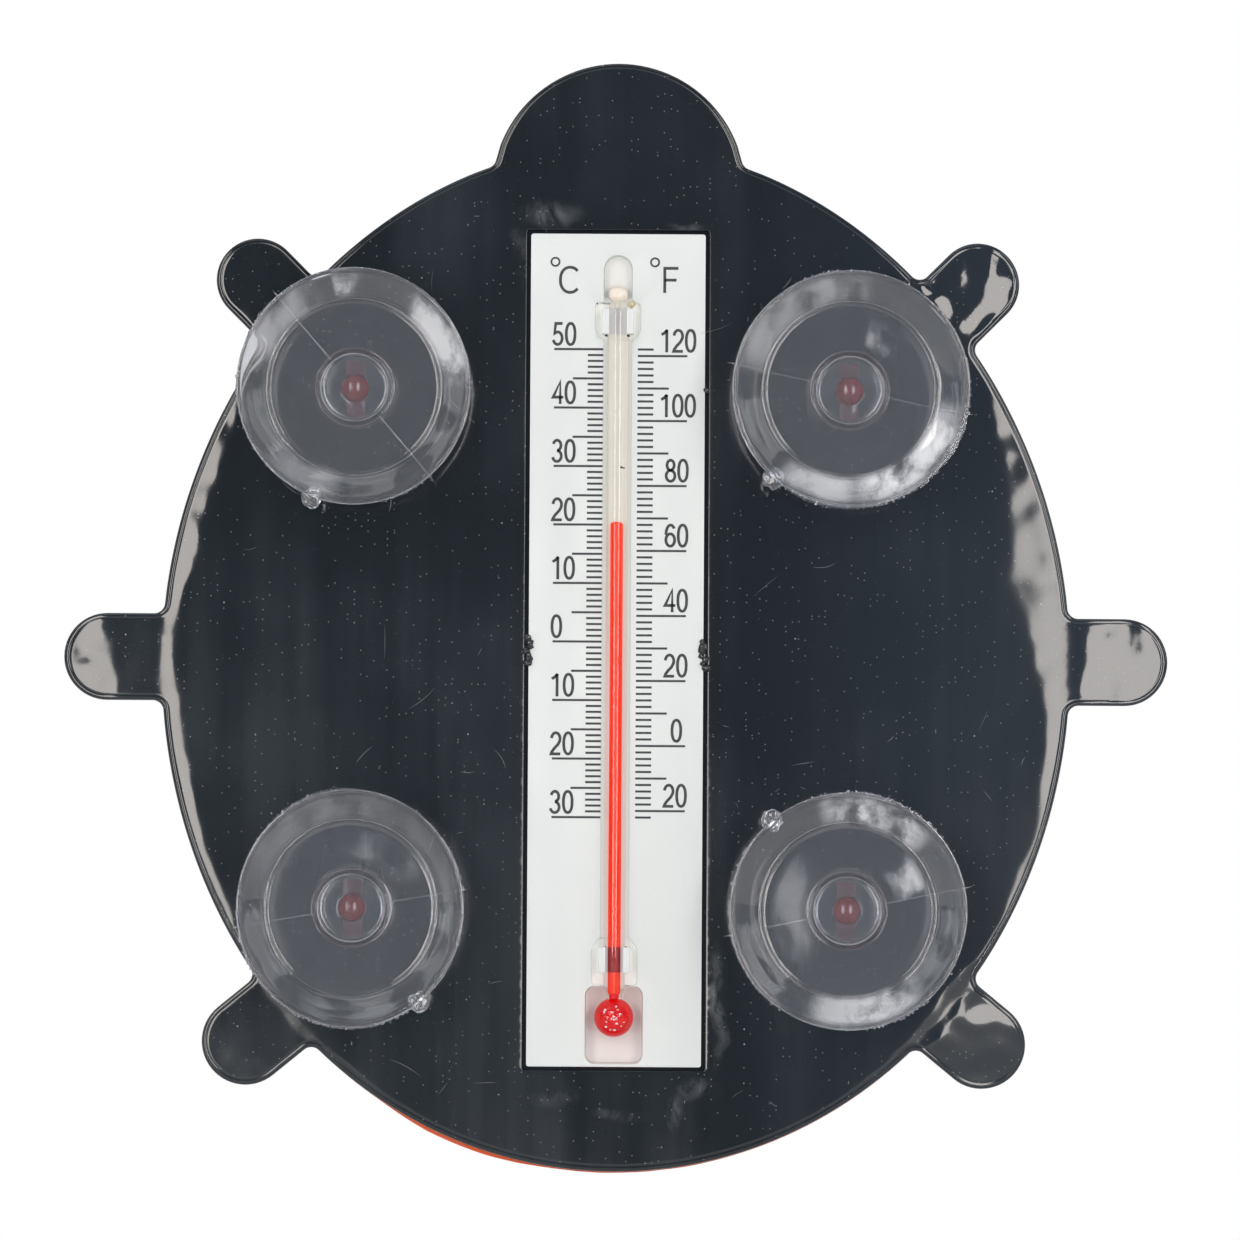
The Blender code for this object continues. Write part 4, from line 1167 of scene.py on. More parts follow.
def make_front_shell():
    depth = SHELL_HIGH.y - SHELL_RIM_Y - SHELL_SKIRT
    middle = SHELL_SHIFT + Vector((0, BODY_MIDDLE_Z))
    rows = dome_grid(shell_outline(), middle, SHELL_RIM_Y, depth, SHELL_ROUNDNESS, SHELL_SKIRT,
                     240, 44, groove=0.8 * MM)
    shell = dome_object("wing_cases", rows, SHELL_WALL, ORANGE)
    bind(shell, "root", "orange_plastic", "front_shell")


def make_head_cap():
    low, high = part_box("head_cap")
    centre = Vector((0, 78.3 * MM))
    radius = 21.0 * MM

    def circle(angle):
        return centre + Vector((math.cos(angle), math.sin(angle))) * radius

    rows = dome_grid(circle, centre, low.y, high.y - low.y - 1 * MM, 2.0, 1 * MM, 128, 24)
    cap = dome_object("head_front", rows, 1.8 * MM, HEAD)
    middle = SHELL_SHIFT + Vector((0, BODY_MIDDLE_Z))
    grown = dome_grid(shell_outline(0.5 * MM), middle, SHELL_RIM_Y - 2 * MM,
                      SHELL_HIGH.y - SHELL_RIM_Y - SHELL_SKIRT + 0.5 * MM, SHELL_ROUNDNESS,
                      SHELL_SKIRT + 2 * MM, 180, 30)
    vertices = [(x, y, z) for row in grown for x, z, y in row]
    count = len(grown[0])
    faces = [tuple(range(count))] + dome_faces(len(grown), count)
    cut(cap, mesh_from("body_space", vertices, faces, BLACK, weld=1e-6))
    shade(cap.data, 40)
    bind(cap, "root", "black_plastic", "head_cap")


# ---------------------------------------------------------------- scale plate
CHANNEL_HALF = 2.55 * MM        # the channel that the tube lies in
CHANNEL_TOP_Z = 67.3 * MM
CHANNEL_FLOOR_Y = REAR_Y + 2.4 * MM
COLLAR_HALF = 4.0 * MM          # the wider wells around the clips
COLLARS = (mm(52.5, 59.2), mm(-57.2, -48.8))
TAB_HALF_HEIGHT = 2.15 * MM
POCKET_LOW = mm(-5.0, -70.4)    # the well around the bulb
POCKET_HIGH = mm(5.0, -57.0)
POCKET_FLOOR_Y = REAR_Y + 4.1 * MM
WALL_DRAFT = 0.28 * MM


def make_scale_plate():
    half_x, half_z = PLATE_HALF
    plate_front = REAR_Y + 2.0 * MM
    plate = prism("scale_panel", rounded_rectangle((-half_x, -half_z), (half_x, half_z), 0.4 * MM, 3),
                  REAR_Y, plate_front)
    trough = rounded_rectangle(mm(-5.4, -56.4), mm(5.4, 68.6), 1 * MM, 2)
    bulge = rounded_rectangle((-6.2 * MM, -half_z + 0.05 * MM), mm(6.2, -55.8), 1 * MM, 2)
    cut(plate, prism("trough", trough, plate_front - 0.5 * MM, REAR_Y + 3.6 * MM), "UNION")
    cut(plate, prism("bulge", bulge, plate_front - 0.6 * MM, REAR_Y + 5.3 * MM), "UNION")
    foot = POCKET_HIGH[1] - 2 * MM
    dome = arc((0, CHANNEL_TOP_Z - CHANNEL_HALF), CHANNEL_HALF, 0, math.pi, 20)
    cut(plate, prism("channel", [(CHANNEL_HALF, foot)] + dome + [(-CHANNEL_HALF, foot)],
                     REAR_Y - 1 * MM, CHANNEL_FLOOR_Y, WALL_DRAFT))
    for low, high in COLLARS:
        cut(plate, prism("collar", collar_outline(low, high), REAR_Y - 1.1 * MM, CHANNEL_FLOOR_Y + 0.05 * MM,
                         WALL_DRAFT))
    cut(plate, prism("pocket", rounded_rectangle(POCKET_LOW, POCKET_HIGH, 1.7 * MM, 6),
                     REAR_Y - 1.2 * MM, POCKET_FLOOR_Y, WALL_DRAFT))
    for middle in TAB_MIDDLES:
        hole = rounded_rectangle((-2.0 * MM, middle - TAB_HALF_HEIGHT), (2.0 * MM, middle + TAB_HALF_HEIGHT),
                                 0.2 * MM, 2)
        cut(plate, prism("mould_hole", hole, CHANNEL_FLOOR_Y - 1 * MM, REAR_Y + 4.4 * MM))
    soften = plate.modifiers.new("soften", "BEVEL")
    soften.width = 0.14 * MM
    soften.segments = 2
    soften.limit_method = "ANGLE"
    soften.angle_limit = math.radians(50)
    shade(applied(plate).data, 32)
    tabs = [clip_tab(side, middle) for middle in TAB_MIDDLES for side in (-1, 1)]
    bind(plate, "root", "white_plastic", "scale_plate")
    clips = joined("tube_clips", tabs)
    bind(clips, "root", "white_plastic")


def collar_outline(low, high):
    """A rectangle around a clip whose end towards the middle of the scale narrows to the channel."""
    drawn_in = COLLAR_HALF - CHANNEL_HALF - 0.1 * MM
    flip = 1 if low > 0 else -1
    narrow, wide = (low, high) if flip > 0 else (high, low)
    right = [Vector((COLLAR_HALF - drawn_in, narrow)), Vector((COLLAR_HALF, narrow + flip * 1.9 * MM))]
    rounding = 0.9 * MM
    corner = arc((COLLAR_HALF - rounding, wide - flip * rounding), rounding, 0, flip * math.pi / 2, 5)
    right += [Vector(p) for p in corner]
    left = [Vector((-p.x, p.y)) for p in reversed(right)]
    points = right + left
    return points if flip > 0 else points[::-1]


def clip_tab(side, middle):
    """A hook that stands beside the tube and reaches over it."""
    section = [(2.2, 2.5), (2.2, -0.6), (2.05, -1.15), (1.42, -1.72), (1.42, -2.40), (1.52, -2.52),
               (2.0, -2.6), (2.60, -2.55), (2.70, -2.45), (2.70, 2.5)]   # x and depth, in mm
    outline = [(side * x * MM, REAR_Y + y * MM) for x, y in section]
    heights = (middle - TAB_HALF_HEIGHT, middle + TAB_HALF_HEIGHT)
    vertices = [(x, y, z) for z in heights for x, y in outline]
    tab = mesh_from("clip_tab", vertices, capped(2, len(outline)), WHITE)
    round_off = tab.modifiers.new("round", "BEVEL")
    round_off.width = 0.12 * MM
    round_off.segments = 3
    shade(applied(tab).data, 40)
    return tab


# ---------------------------------------------------------------------- print
INK_DEPTH = 0.03 * MM
LINE_WIDTH = 0.37 * MM
DIGIT_ADVANCE = 2.12 * MM


def ink_ribbon(build, points, width, closed=False):
    """A printed stroke of even width along points (x, z)."""
    points = [Vector(p) for p in points]
    count = len(points)
    left, right = [], []
    for i, point in enumerate(points):
        before = points[i - 1] if closed or i else point
        after = points[(i + 1) % count] if closed or i < count - 1 else point
        into = (point - before).normalized() if (point - before).length > 0 else (after - point).normalized()
        out = (after - point).normalized() if (after - point).length > 0 else into
        normal = Vector((-(into + out).y, (into + out).x)).normalized()
        stretch = 1 / max(0.5, normal.dot(Vector((-out.y, out.x))))
        left.append(point + normal * width / 2 * stretch)
        right.append(point - normal * width / 2 * stretch)
    near, far = REAR_Y - INK_DEPTH, REAR_Y + INK_DEPTH / 2
    vertices = [(x, y, z) for y in (near, far) for line in (left, right) for x, z in line]
    faces = []
    for i in range(count if closed else count - 1):
        j = (i + 1) % count
        a, b, c, d = i, j, count + j, count + i
        faces += [(a, b, c, d), tuple(k + 2 * count for k in (d, c, b, a)),
                  (a, b, b + 2 * count, a + 2 * count), (d, c, c + 2 * count, d + 2 * count)]
    if not closed:
        for i in (0, count - 1):
            faces.append((i, count + i, 3 * count + i, 2 * count + i))
    build.add(vertices, faces)


def oval(cx, cz, rx, rz, start=0.0, end=360.0, steps=18, squareness=2.0):
    points = []
    for i in range(steps + 1):
        angle = math.radians(start + (end - start) * i / steps)
        c, s = math.cos(angle), math.sin(angle)
        points.append((cx + rx * math.copysign(abs(c) ** (2 / squareness), c),
                       cz + rz * math.copysign(abs(s) ** (2 / squareness), s)))
    return points


GLYPHS = {      # strokes of a narrow sans-serif in a cell 0.46 wide and 1 high: (points, closed)
    "0": [(oval(0.22, 0.5, 0.165, 0.455, 0, 340, 32, 2.25), True)],
    "1": [([(0.26, 0.0), (0.26, 0.98)], False), ([(0.275, 0.96), (0.17, 0.83), (0.06, 0.76)], False)],
    "2": [(oval(0.225, 0.70, 0.16, 0.255, 175, -28, 16)
           + [(0.30, 0.44), (0.16, 0.27), (0.075, 0.13), (0.05, 0.045), (0.40, 0.045)], False)],
    "3": [(oval(0.205, 0.735, 0.145, 0.22, 165, -88, 14), False),
          (oval(0.20, 0.275, 0.165, 0.235, 90, -168, 16), False)],
    "4": [([(0.31, 0.0), (0.31, 0.95), (0.04, 0.29), (0.43, 0.29)], False)],
    "5": [([(0.385, 0.95), (0.125, 0.95), (0.085, 0.52)]
           + oval(0.20, 0.315, 0.17, 0.27, 128, -165, 18)[1:], False)],
    "6": [(oval(0.235, 0.53, 0.175, 0.425, 40, 180, 14), False),
          (oval(0.225, 0.31, 0.165, 0.265, 0, 340, 26), True)],
    "8": [(oval(0.22, 0.735, 0.135, 0.215, 0, 340, 22), True),
          (oval(0.22, 0.275, 0.165, 0.235, 0, 340, 24), True)],
    "C": [(oval(0.30, 0.5, 0.235, 0.455, 42, 318, 26, 2.2), False)],
    "F": [([(0.06, 0.0), (0.06, 0.955), (0.50, 0.955)], False), ([(0.06, 0.50), (0.44, 0.50)], False)],
}


def write(build, text, left, foot, height, width_scale, stroke=0.49 * MM):
    for i, character in enumerate(text):
        for points, closed in GLYPHS[character]:
            placed = [(left + i * DIGIT_ADVANCE + x * height * width_scale, foot + z * height)
                      for x, z in points]
            ink_ribbon(build, placed, stroke, closed)


def celsius_z(degrees):
    return ZERO_C_Z + METRES_PER_DEGREE_C * degrees


def fahrenheit_z(degrees):
    return celsius_z((degrees - 32) / 1.8)


def print_scale(build, degrees_range, height_of, start, ends, foot, left_of):
    """Lines from beside the tube outwards, with a number on each longest line.

    The ends are (how many degrees apart, where such lines end), longest first.
    """
    for degrees in degrees_range:
        z = height_of(degrees)
        end = next(end for step, end in ends if degrees % step == 0)
        line = [(start * MM, z), (end * MM, z)]
        ink_ribbon(build, line if end > 0 else line[::-1], LINE_WIDTH)
        if end == ends[0][1]:
            text = str(abs(degrees))
            write(build, text, left_of(text) * MM, z + foot * MM, 3.95 * MM, 1.14)


def make_print():
    build = Builder()
    print_scale(build, range(-30, 51), celsius_z, -2.46, ((10, -10.8), (5, -7.6), (1, -5.1)), 0.6,
                lambda text: -11.15)
    print_scale(build, range(-22, 123, 2), fahrenheit_z, 3.4, ((20, 11.85), (10, 8.7), (2, 6.1)), 0.65,
                lambda text: (9.35, 8.1, 7.15)[len(text) - 1])
    write(build, "C", -10.3 * MM, 60.6 * MM, 4.7 * MM, 1.5, 0.5 * MM)
    write(build, "F", 7.6 * MM, 60.6 * MM + 0.2 * MM, 4.4 * MM, 1.2, 0.5 * MM)
    for x in mm(-10.7, 6.25):
        ink_ribbon(build, oval(x, 66.0 * MM, 0.70 * MM, 0.70 * MM, 0, 340, 20), 0.32 * MM, True)
    marks = mesh_from("printed_scales", build.vertices, build.faces, INK, sharp=40, weld=1e-9)
    bind(marks, "root", "white_plastic")


# ---------------------------------------------------------------- thermometer
STEM_RADIUS = 1.89 * MM
THREAD_RADIUS = 0.74 * MM
BULB_RADIUS = 3.36 * MM
TIP_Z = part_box("tube_tip_seal")[1].z
TUBE_PLACE = (TUBE_X, TUBE_Y, 0)


def make_tube():
    tip = [(0.0, 0.0), (0.7, 0.12), (1.3, 0.55), (1.7, 1.2)]      # radius and drop below the tip, in mm
    outer = [(radius * MM, TIP_Z - drop * MM) for radius, drop in tip] + [(STEM_RADIUS, TIP_Z - 2.2 * MM)]
    outer = smooth_profile(outer, 2)
    shoulder_z = BULB_Z + math.sqrt(BULB_RADIUS ** 2 - (1.3 * MM) ** 2)
    outer.append((STEM_RADIUS, shoulder_z + 2.6 * MM))
    shoulder = [(1.80, 1.6), (1.55, 0.8), (1.32, 0.35)]     # radius and height above the bulb, in mm
    outer += [(radius * MM, shoulder_z + rise * MM) for radius, rise in shoulder]
    outer += sphere_arc(BULB_RADIUS, BULB_Z, 1.3 * MM, 0.0, 28)
    glass = turned("glass_stem_and_bulb", outer, TUBE_PLACE, GLASS, 64, upright=True, sharp=60)
    bind(glass, "root", "glass", "glass_tube", "tube_tip_seal")
    strip = bent_strip("tube_enamel", 1.62 * MM, 0.10 * MM, -12, 192, shoulder_z + 2.4 * MM, TIP_Z - 0.9 * MM)
    bind(strip, "root", "glass")


def bent_strip(name, radius, thickness, start, end, foot, top, steps=28, rows=24):
    """Part of an upright tube wall around the thermometer's axis, between two angles in degrees."""
    vertices = []
    for row in range(rows + 1):
        z = foot + (top - foot) * row / rows
        for reach, way in ((radius, 1), (radius - thickness, -1)):
            line = arc((TUBE_X, TUBE_Y), reach, math.radians(start), math.radians(end), steps)
            vertices += [(x, y, z) for x, y in line[::way]]
    around = 2 * (steps + 1)
    faces = quads(rows + 1, around)
    for row in (0, rows):
        faces += [tuple(row * around + k for k in (i, i + 1, around - 2 - i, around - 1 - i))
                  for i in range(steps)]
    return mesh_from(name, vertices, faces, ENAMEL, sharp=60)


def make_spirit():
    """Bulb filling, a thread from the bulb up to the level, and the thread's rounded top."""
    filling = sphere_arc(BULB_RADIUS - 0.30 * MM, BULB_Z, 0.5 * MM, 0.0, 26)
    top = filling[0][1]
    neck = [(0.0, top + 3.6 * MM), (0.60 * MM, top + 3.5 * MM), (0.60 * MM, top + 1.5 * MM),
            (0.58 * MM, top + 0.3 * MM)]
    bulb = turned("bulb_filling", neck + filling, TUBE_PLACE, BULB, 64, upright=True, sharp=70)
    bind(bulb, "root", "red_spirit", "bulb_liquid")
    foot = top + 1.2 * MM
    cap_foot = LEVEL_Z - 1.1 * MM
    rows = 60
    thread = [(0.0, cap_foot)] + [(THREAD_RADIUS, cap_foot + (foot - cap_foot) * i / rows)
                                  for i in range(rows + 1)] + [(0.0, foot)]
    column = turned("spirit_thread", thread, TUBE_PLACE, SPIRIT, 32, upright=True, sharp=60)
    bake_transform(column)
    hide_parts("liquid_column")
    dome = [(0.0, LEVEL_Z), (0.45 * MM, LEVEL_Z - 0.10 * MM), (0.66 * MM, LEVEL_Z - 0.28 * MM),
            (THREAD_RADIUS, LEVEL_Z - 0.55 * MM), (THREAD_RADIUS, cap_foot), (0.0, cap_foot)]
    meniscus = turned("thread_top", dome, TUBE_PLACE, SPIRIT, 32, upright=True, sharp=60)
    bind(meniscus, "column_top", "red_spirit", "liquid_meniscus")


def make_glue():
    low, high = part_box("tip_adhesive")
    middle = (low + high) / 2
    middle.z -= 0.45 * MM
    cream = lump("tip_glue", middle, (1.7 * MM, 1.2 * MM, 1.45 * MM), CREAM, 4.0, 0.08, 4)
    bind(cream, "root", "cream_adhesive", "tip_adhesive")
    spot = lump("glue_spot", (2.3 * MM, REAR_Y - 0.9 * MM, 58.8 * MM),
                (0.6 * MM, 0.4 * MM, 0.65 * MM), AMBER, 7.0, 0.4)
    bind(spot, "root", "cream_adhesive")
    for label in ("upper", "lower"):
        node = "plate_adhesive_" + label
        low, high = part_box(node)
        middle, half = (low + high) / 2, (high - low) / 2
        bead = lump("glue_bead_" + label, middle, half, CLEAR_GLUE, 2.0 + len(label), 0.25, 4)
        bind(bead, "root", "clear_adhesive", node)


def make_specks():
    """Dark dirt in the corners of the clips and in the tube, and painted glints: small bright lumps on the
    bulb's glass that stand in for highlights.
    """
    dark = []
    for x, z, size in ((-1.95, 53.42, 0.25), (1.78, 53.42, 0.27), (-3.55, 58.9, 0.16), (1.95, -50.4, 0.13),
                       (-1.45, -50.4, 0.14), (0.75, 31.0, 0.22), (1.15, 30.9, 0.16)):
        dark.append(lump("dirt", (x * MM, REAR_Y - 1.66 * MM if 25 < z < 40 else REAR_Y - 0.9 * MM,
                                  z * MM), (size * MM, 0.1 * MM, size * 0.8 * MM), LINT_DARK, size * 40, 0.4))
    dirt = joined("dirt_specks", dark)
    bind(dirt, "root", "black_plastic")
    # Painted glints: small bright lumps on the front of the bulb's glass.
    draw = random.Random(3)
    glint_lumps = []
    for k in range(19):
        turn = 2 * math.pi * k / 19 + draw.uniform(-0.2, 0.2)
        out = draw.uniform(1.0, 2.1) * MM if k % 5 else draw.uniform(0.2, 0.7) * MM
        x, z = TUBE_X + out * math.cos(turn), BULB_Z + out * math.sin(turn)
        y = TUBE_Y - math.sqrt(BULB_RADIUS ** 2 - out ** 2) - 0.01 * MM
        glint_lumps.append(lump("painted_glint", (x, y, z), (draw.uniform(0.08, 0.24) * MM, 0.05 * MM,
                                                draw.uniform(0.05, 0.16) * MM), GLINT_PAINT, k * 1.7, 0.8))
    glints = joined("bulb_painted_glints", glint_lumps)
    bind(glints, "root", "glass")


# ------------------------------------------------------ pegs and suction cups
BALL_Y = 9.4 * MM
BALL_RADIUS = 2.45 * MM


def make_peg(corner):
    low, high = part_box("peg_" + corner)
    middle = (low + high) / 2
    pin = 1.4 * MM
    ball = [(radius, 2 * BALL_Y - depth) for radius, depth in
            sphere_arc(BALL_RADIUS, BALL_Y, 0.0, pin * 1.04, 20)]
    profile = ball + [(pin, BALL_Y + 2.3 * MM), (pin, BALL_Y + 3.4 * MM), (1.75 * MM, BALL_Y + 4.0 * MM),
                      (1.6 * MM, REAR_Y), (1.5 * MM, high.y - 1.1 * MM), (2.2 * MM, high.y - 1.0 * MM),
                      (2.1 * MM, high.y - 0.8 * MM), (1.3 * MM, high.y), (0.0, high.y)]
    pin_part = turned("pin", profile, (middle.x, 0, middle.z), RED, 48)
    bar = rounded_box("bar", (middle.x - 1.72 * MM, BALL_Y + 4.0 * MM, middle.z - 5.05 * MM),
                      (middle.x + 1.72 * MM, REAR_Y - 0.02 * MM, middle.z + 5.05 * MM), RED, 0.3 * MM)
    peg = joined("peg_piece_" + corner, [pin_part, bar])
    bind(peg, "root", "red_plastic", "peg_" + corner)


def cup_section():
    """Half section in mm, (radius, depth): hollow, lip, back and neck; then the ball's chamber."""
    hollow = [(0.0, 3.55), (6.0, 3.55), (11.0, 3.53), (13.6, 3.48), (14.35, 3.42), (14.55, 3.16),
              (14.75, 3.10), (14.95, 3.20), (16.5, 2.35), (18.0, 1.35), (19.0, 0.55), (19.35, 0.12)]
    lip = [(19.5, 0.0), (19.85, 0.0), (20.0, 0.12), (20.0, 0.35), (19.85, 0.6)]
    back = [(19.2, 1.35), (17.6, 2.7), (16.2, 3.65), (15.4, 4.15), (15.05, 4.4), (14.85, 4.7), (14.3, 4.85),
            (12.0, 4.9), (8.0, 4.95), (6.75, 5.0), (6.55, 5.03), (6.5, 5.15), (6.45, 6.4), (6.45, 10.0),
            (6.5, 12.7), (6.4, 13.0), (6.1, 13.1)]
    chamber = [(2.1, 13.1), (1.88, 12.9), (1.85, 11.9), (2.0, 11.75), (5.5, 11.75), (5.85, 11.45), (5.9, 6.1),
               (5.85, 5.5), (5.6, 5.25), (5.2, 5.15), (0.0, 5.15)]
    return hollow, lip + back + chamber


CUP_DETAILS = {   # seam and gate angles in degrees, squeeze across, lean in mm and its direction
    "upper_left": (-49.0, 250.0, 0.985, 0.12, 160),
    "upper_right": (-11.8, 229.5, 1.0, 0.40, -20),
    "lower_left": (9.3, 308.0, 0.955, 0.15, 90),
    "lower_right": (11.7, 130.3, 1.0, 0.35, 60),
}
RIM_START = 14.9 * MM           # where the flat middle turns into the soft annulus
CUP_RADIUS = 20.0                           # in mm, as are the seam's values below
SEAM_START, SEAM_END = 6.0, 19.6
SEAM_SPIKE = ((20.3, 0.15), (21.3, 0.30))   # radius and depth of the spike past the rim


def surface_depth(hollow, radius):
    """Depth of the hollow's surface at a radius, in mm."""
    for (r0, d0), (r1, d1) in zip(hollow, hollow[1:]):
        if r0 <= radius <= r1:
            return d0 + (d1 - d0) * (radius - r0) / (r1 - r0)
    return 0.0


def flexed(place, seed, lean, lean_way):
    """How far the soft annulus of a cup is bent out of its moulded shape."""
    flat = Vector((place.x, 0, place.z))
    radius = flat.length
    if radius < RIM_START:
        return 0.0
    direction = flat / radius
    share = min(1.0, (radius - RIM_START) / (2.5 * MM))
    share *= max(0.0, min(1.0, (CUP_RADIUS * MM - radius) / (2 * MM)))
    wave = noise.noise(direction * 2.6 + Vector((seed, 0, radius * 60))) * 0.34
    return share * (wave + lean * direction.dot(lean_way)) * MM


def make_cup(corner):
    middle = node_middle("cup_" + corner)
    seam_degrees, gate_degrees, squeeze, lean, lean_degrees = CUP_DETAILS[corner]
    hollow, outside = cup_section()
    profile = [(radius * MM, depth * MM) for radius, depth in smooth_profile(hollow + outside, 2)]
    inner_side = smooth_profile(hollow + outside[:2], 2)
    cup = turned("cup_body", profile, (0, 0, 0), VINYL[corner], 144, sharp=60)
    seed = 5.0 * CORNERS.index(corner)
    lean_turn = math.radians(lean_degrees)
    lean_way = Vector((math.cos(lean_turn), 0, math.sin(lean_turn)))
    for vertex in cup.data.vertices:
        if vertex.co.y > 0.2 * MM:
            vertex.co.y += flexed(vertex.co, seed, lean, lean_way)
    pieces = [cup, rim_flash(seed), rim_crumbs(corner, seed)]
    seam = math.radians(seam_degrees)
    for way in (0, math.pi):
        heading = Vector((math.cos(seam + way), 0, math.sin(seam + way)))
        points = []
        for i in range(60):
            radius = SEAM_START + (SEAM_END - SEAM_START) * i / 59
            point = heading * radius * MM + Vector((0, (surface_depth(inner_side, radius) - 0.06) * MM, 0))
            point.y += flexed(point, seed, lean, lean_way)
            points.append(point)
        points += [heading * radius * MM + Vector((0, depth * MM, 0)) for radius, depth in SEAM_SPIKE]
        pieces.append(thin_tube("seam", points, 0.09 * MM, VINYL_EDGE))
    gate = math.radians(gate_degrees)
    gate_place = Vector((math.cos(gate), 0, math.sin(gate))) * CUP_RADIUS * MM + Vector((0, 0.6 * MM, 0))
    pieces.append(lump("gate", gate_place, (1.75 * MM, 0.55 * MM, 1.75 * MM), VINYL_EDGE, seed, 0.3, 4))
    whole = joined("suction_cup_" + corner, pieces)
    for vertex in whole.data.vertices:
        reach = min(1.0, math.hypot(vertex.co.x, vertex.co.z) / (CUP_RADIUS * MM))
        vertex.co.x *= 1 - (1 - squeeze) * reach ** 2
        vertex.co.y = max(0.0, vertex.co.y)
    whole.location = (middle.x, 0, middle.z)
    bind(whole, "cup_" + corner, "clear_pvc", "cup_" + corner)


RIM_CRUMBS = {   # parts of the rim with torn crumbs: middle and half width in degrees, how many
    "upper_left": ((-62, 16, 26), (-150, 40, 14)),
    "upper_right": ((-45, 50, 130), (100, 45, 26)),
    "lower_left": ((-95, 45, 150), (-150, 30, 40), (20, 60, 40)),
    "lower_right": ((70, 40, 90), (-165, 50, 90), (-60, 40, 40)),
}


def rim_crumbs(corner, seed):
    """Tiny torn crumbs of vinyl along parts of the rim."""
    draw = random.Random(40 + int(seed))
    crumbs = []
    for middle, half_width, count in RIM_CRUMBS[corner]:
        for _ in range(count):
            turn = math.radians(middle + half_width * draw.triangular(-1, 1, 0))
            out = (19.98 + draw.uniform(-0.05, 0.25)) * MM
            size = draw.uniform(0.1, 0.22) * MM
            place = (math.cos(turn) * out, draw.uniform(0.12, 0.3) * MM, math.sin(turn) * out)
            crumbs.append(lump("crumb", place, (size, 0.1 * MM, size * draw.uniform(0.6, 1.3)),
                               CRUMB, draw.random() * 9, 0.6, 1))
    return joined("crumbs", crumbs)


def rim_flash(seed):
    """A thin ragged skin of vinyl that leaked from the mould around the rim."""
    steps = 720
    vertices = []
    for k in range(steps):
        direction = Vector((math.cos(2 * math.pi * k / steps), 0, math.sin(2 * math.pi * k / steps)))
        amount = max(0.0, noise.noise(direction * 1.6 + Vector((seed, 2, 0))) + 0.12)
        tooth = 0.5 + 0.5 * noise.noise(direction * 60 + Vector((0, seed, 0)))
        out = 19.85 * MM + (0.04 + 1.1 * amount * tooth) * MM
        lift = 0.08 * MM * noise.noise(direction * 45 + Vector((3, 0, seed)))
        for radius, depth in ((19.75 * MM, 0.22 * MM), (out, 0.26 * MM + lift), (out, 0.36 * MM + lift),
                              (19.75 * MM, 0.42 * MM)):
            vertices.append(direction * radius + Vector((0, depth, 0)))
    return mesh_from("flash", vertices, quads(steps, 4, looped=True), VINYL_EDGE, sharp=60)


def thin_tube(name, points, radius, material, sides=8):
    """A thin round strip along points."""
    rings = []
    for i, point in enumerate(points):
        along = (points[min(i + 1, len(points) - 1)] - points[max(i - 1, 0)]).normalized()
        across = along.cross(Vector((0, 1, 0))).normalized()
        up = across.cross(along)
        size = radius * (0.35 if i in (0, len(points) - 1) else 1.0)
        rings.append([point + (across * math.cos(a) + up * math.sin(a)) * size
                      for a in (2 * math.pi * k / sides for k in range(sides))])
    return mesh_from(name, [v for ring in rings for v in ring], capped(len(rings), sides), material)


# ---------------------------------------------------------------------- stage
def make_stage():
    floor_z = cad_bounds[0][2] - 60 * MM
    vertices = [(-1.5, -0.9, floor_z), (1.5, -0.9, floor_z), (1.5, 0.72, floor_z), (-1.5, 0.72, floor_z)]
    floor = mesh_from("floor", vertices, [(0, 1, 2, 3)], pale_floor())


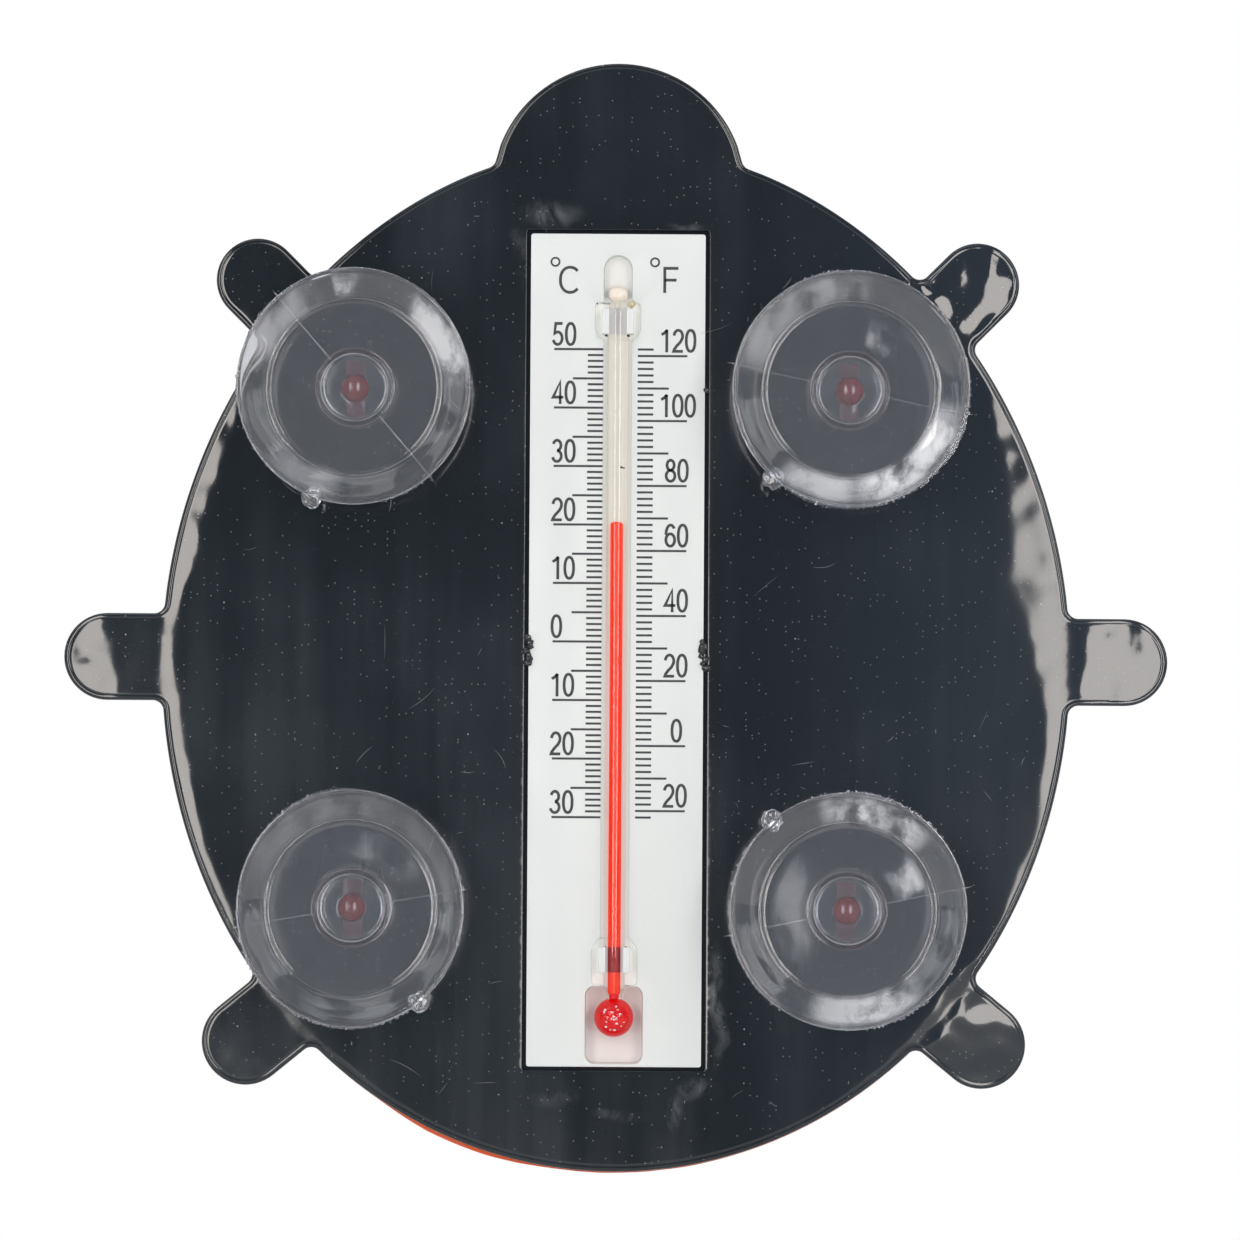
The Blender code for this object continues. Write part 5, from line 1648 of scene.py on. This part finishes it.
def softbox(name, place, target, size, power, colour):
    data = bpy.data.lights.new(name, "AREA")
    data.shape = "RECTANGLE"
    data.size, data.size_y = size
    data.energy = power
    data.color = colour
    light = bpy.data.objects.new(name, data)
    scene.collection.objects.link(light)
    light.location = place
    light.rotation_euler = (Vector(target) - Vector(place)).to_track_quat("-Z", "Z").to_euler()


def make_lights():
    """Two tall soft boxes beside the camera, a pale backdrop and dim surroundings."""
    for name, side in (("left_box", -1), ("right_box", 1)):
        softbox(name, (side * 0.42, -1.12, 0.05), (0, REAR_Y, 0), (0.26, 1.2), 8.2, (1.0, 0.945, 0.895))
    world = bpy.data.worlds.new("studio")
    world.use_nodes = True
    sky = Nodes(world.node_tree, "Generated")
    facing = sky.math("MULTIPLY_ADD", sky.axis("Y"), 0.5, 0.5)  # 0 on the window's side, 1 beyond
    surroundings = sky.ramp(facing, (0.0, (0.20, 0.25, 0.31)), (0.25, (0.20, 0.25, 0.31)),
                            (0.45, (0.28, 0.30, 0.32)), (0.75, (0.62, 0.63, 0.64)))
    ring = sky.ramp(facing, (0.14, (0, 0, 0)), (0.20, (1, 1, 1)), (0.38, (1, 1, 1)), (0.44, (0, 0, 0)))
    patches = sky.add("ShaderNodeTexNoise", Vector=sky.place, Scale=2.3, Detail=1.0).outputs["Fac"]
    panels = sky.between(patches, 0.48, 0.56, 0.0, 1.5)
    total = sky.add("ShaderNodeVectorMath")
    total.operation = "ADD"
    sky.feed(total.inputs[0], surroundings)
    sky.feed(total.inputs[1], sky.times(panels, ring))
    path = sky.add("ShaderNodeLightPath")
    seen = sky.mix(path.outputs["Is Camera Ray"], total.outputs[0], (1, 1, 1))
    sky.feed(sky.tree.nodes["Background"].inputs["Color"], seen)
    scene.world = world


# ------------------------------------------------------------------------ run
make_back_plate()
make_crimps()
make_ejector_marks()
make_hairlines()
make_front_shell()
make_head_cap()
make_scale_plate()
make_print()
make_tube()
make_spirit()
make_glue()
make_specks()
for cup_corner in CORNERS:
    make_peg(cup_corner)
    make_cup(cup_corner)
make_stage()
make_lights()
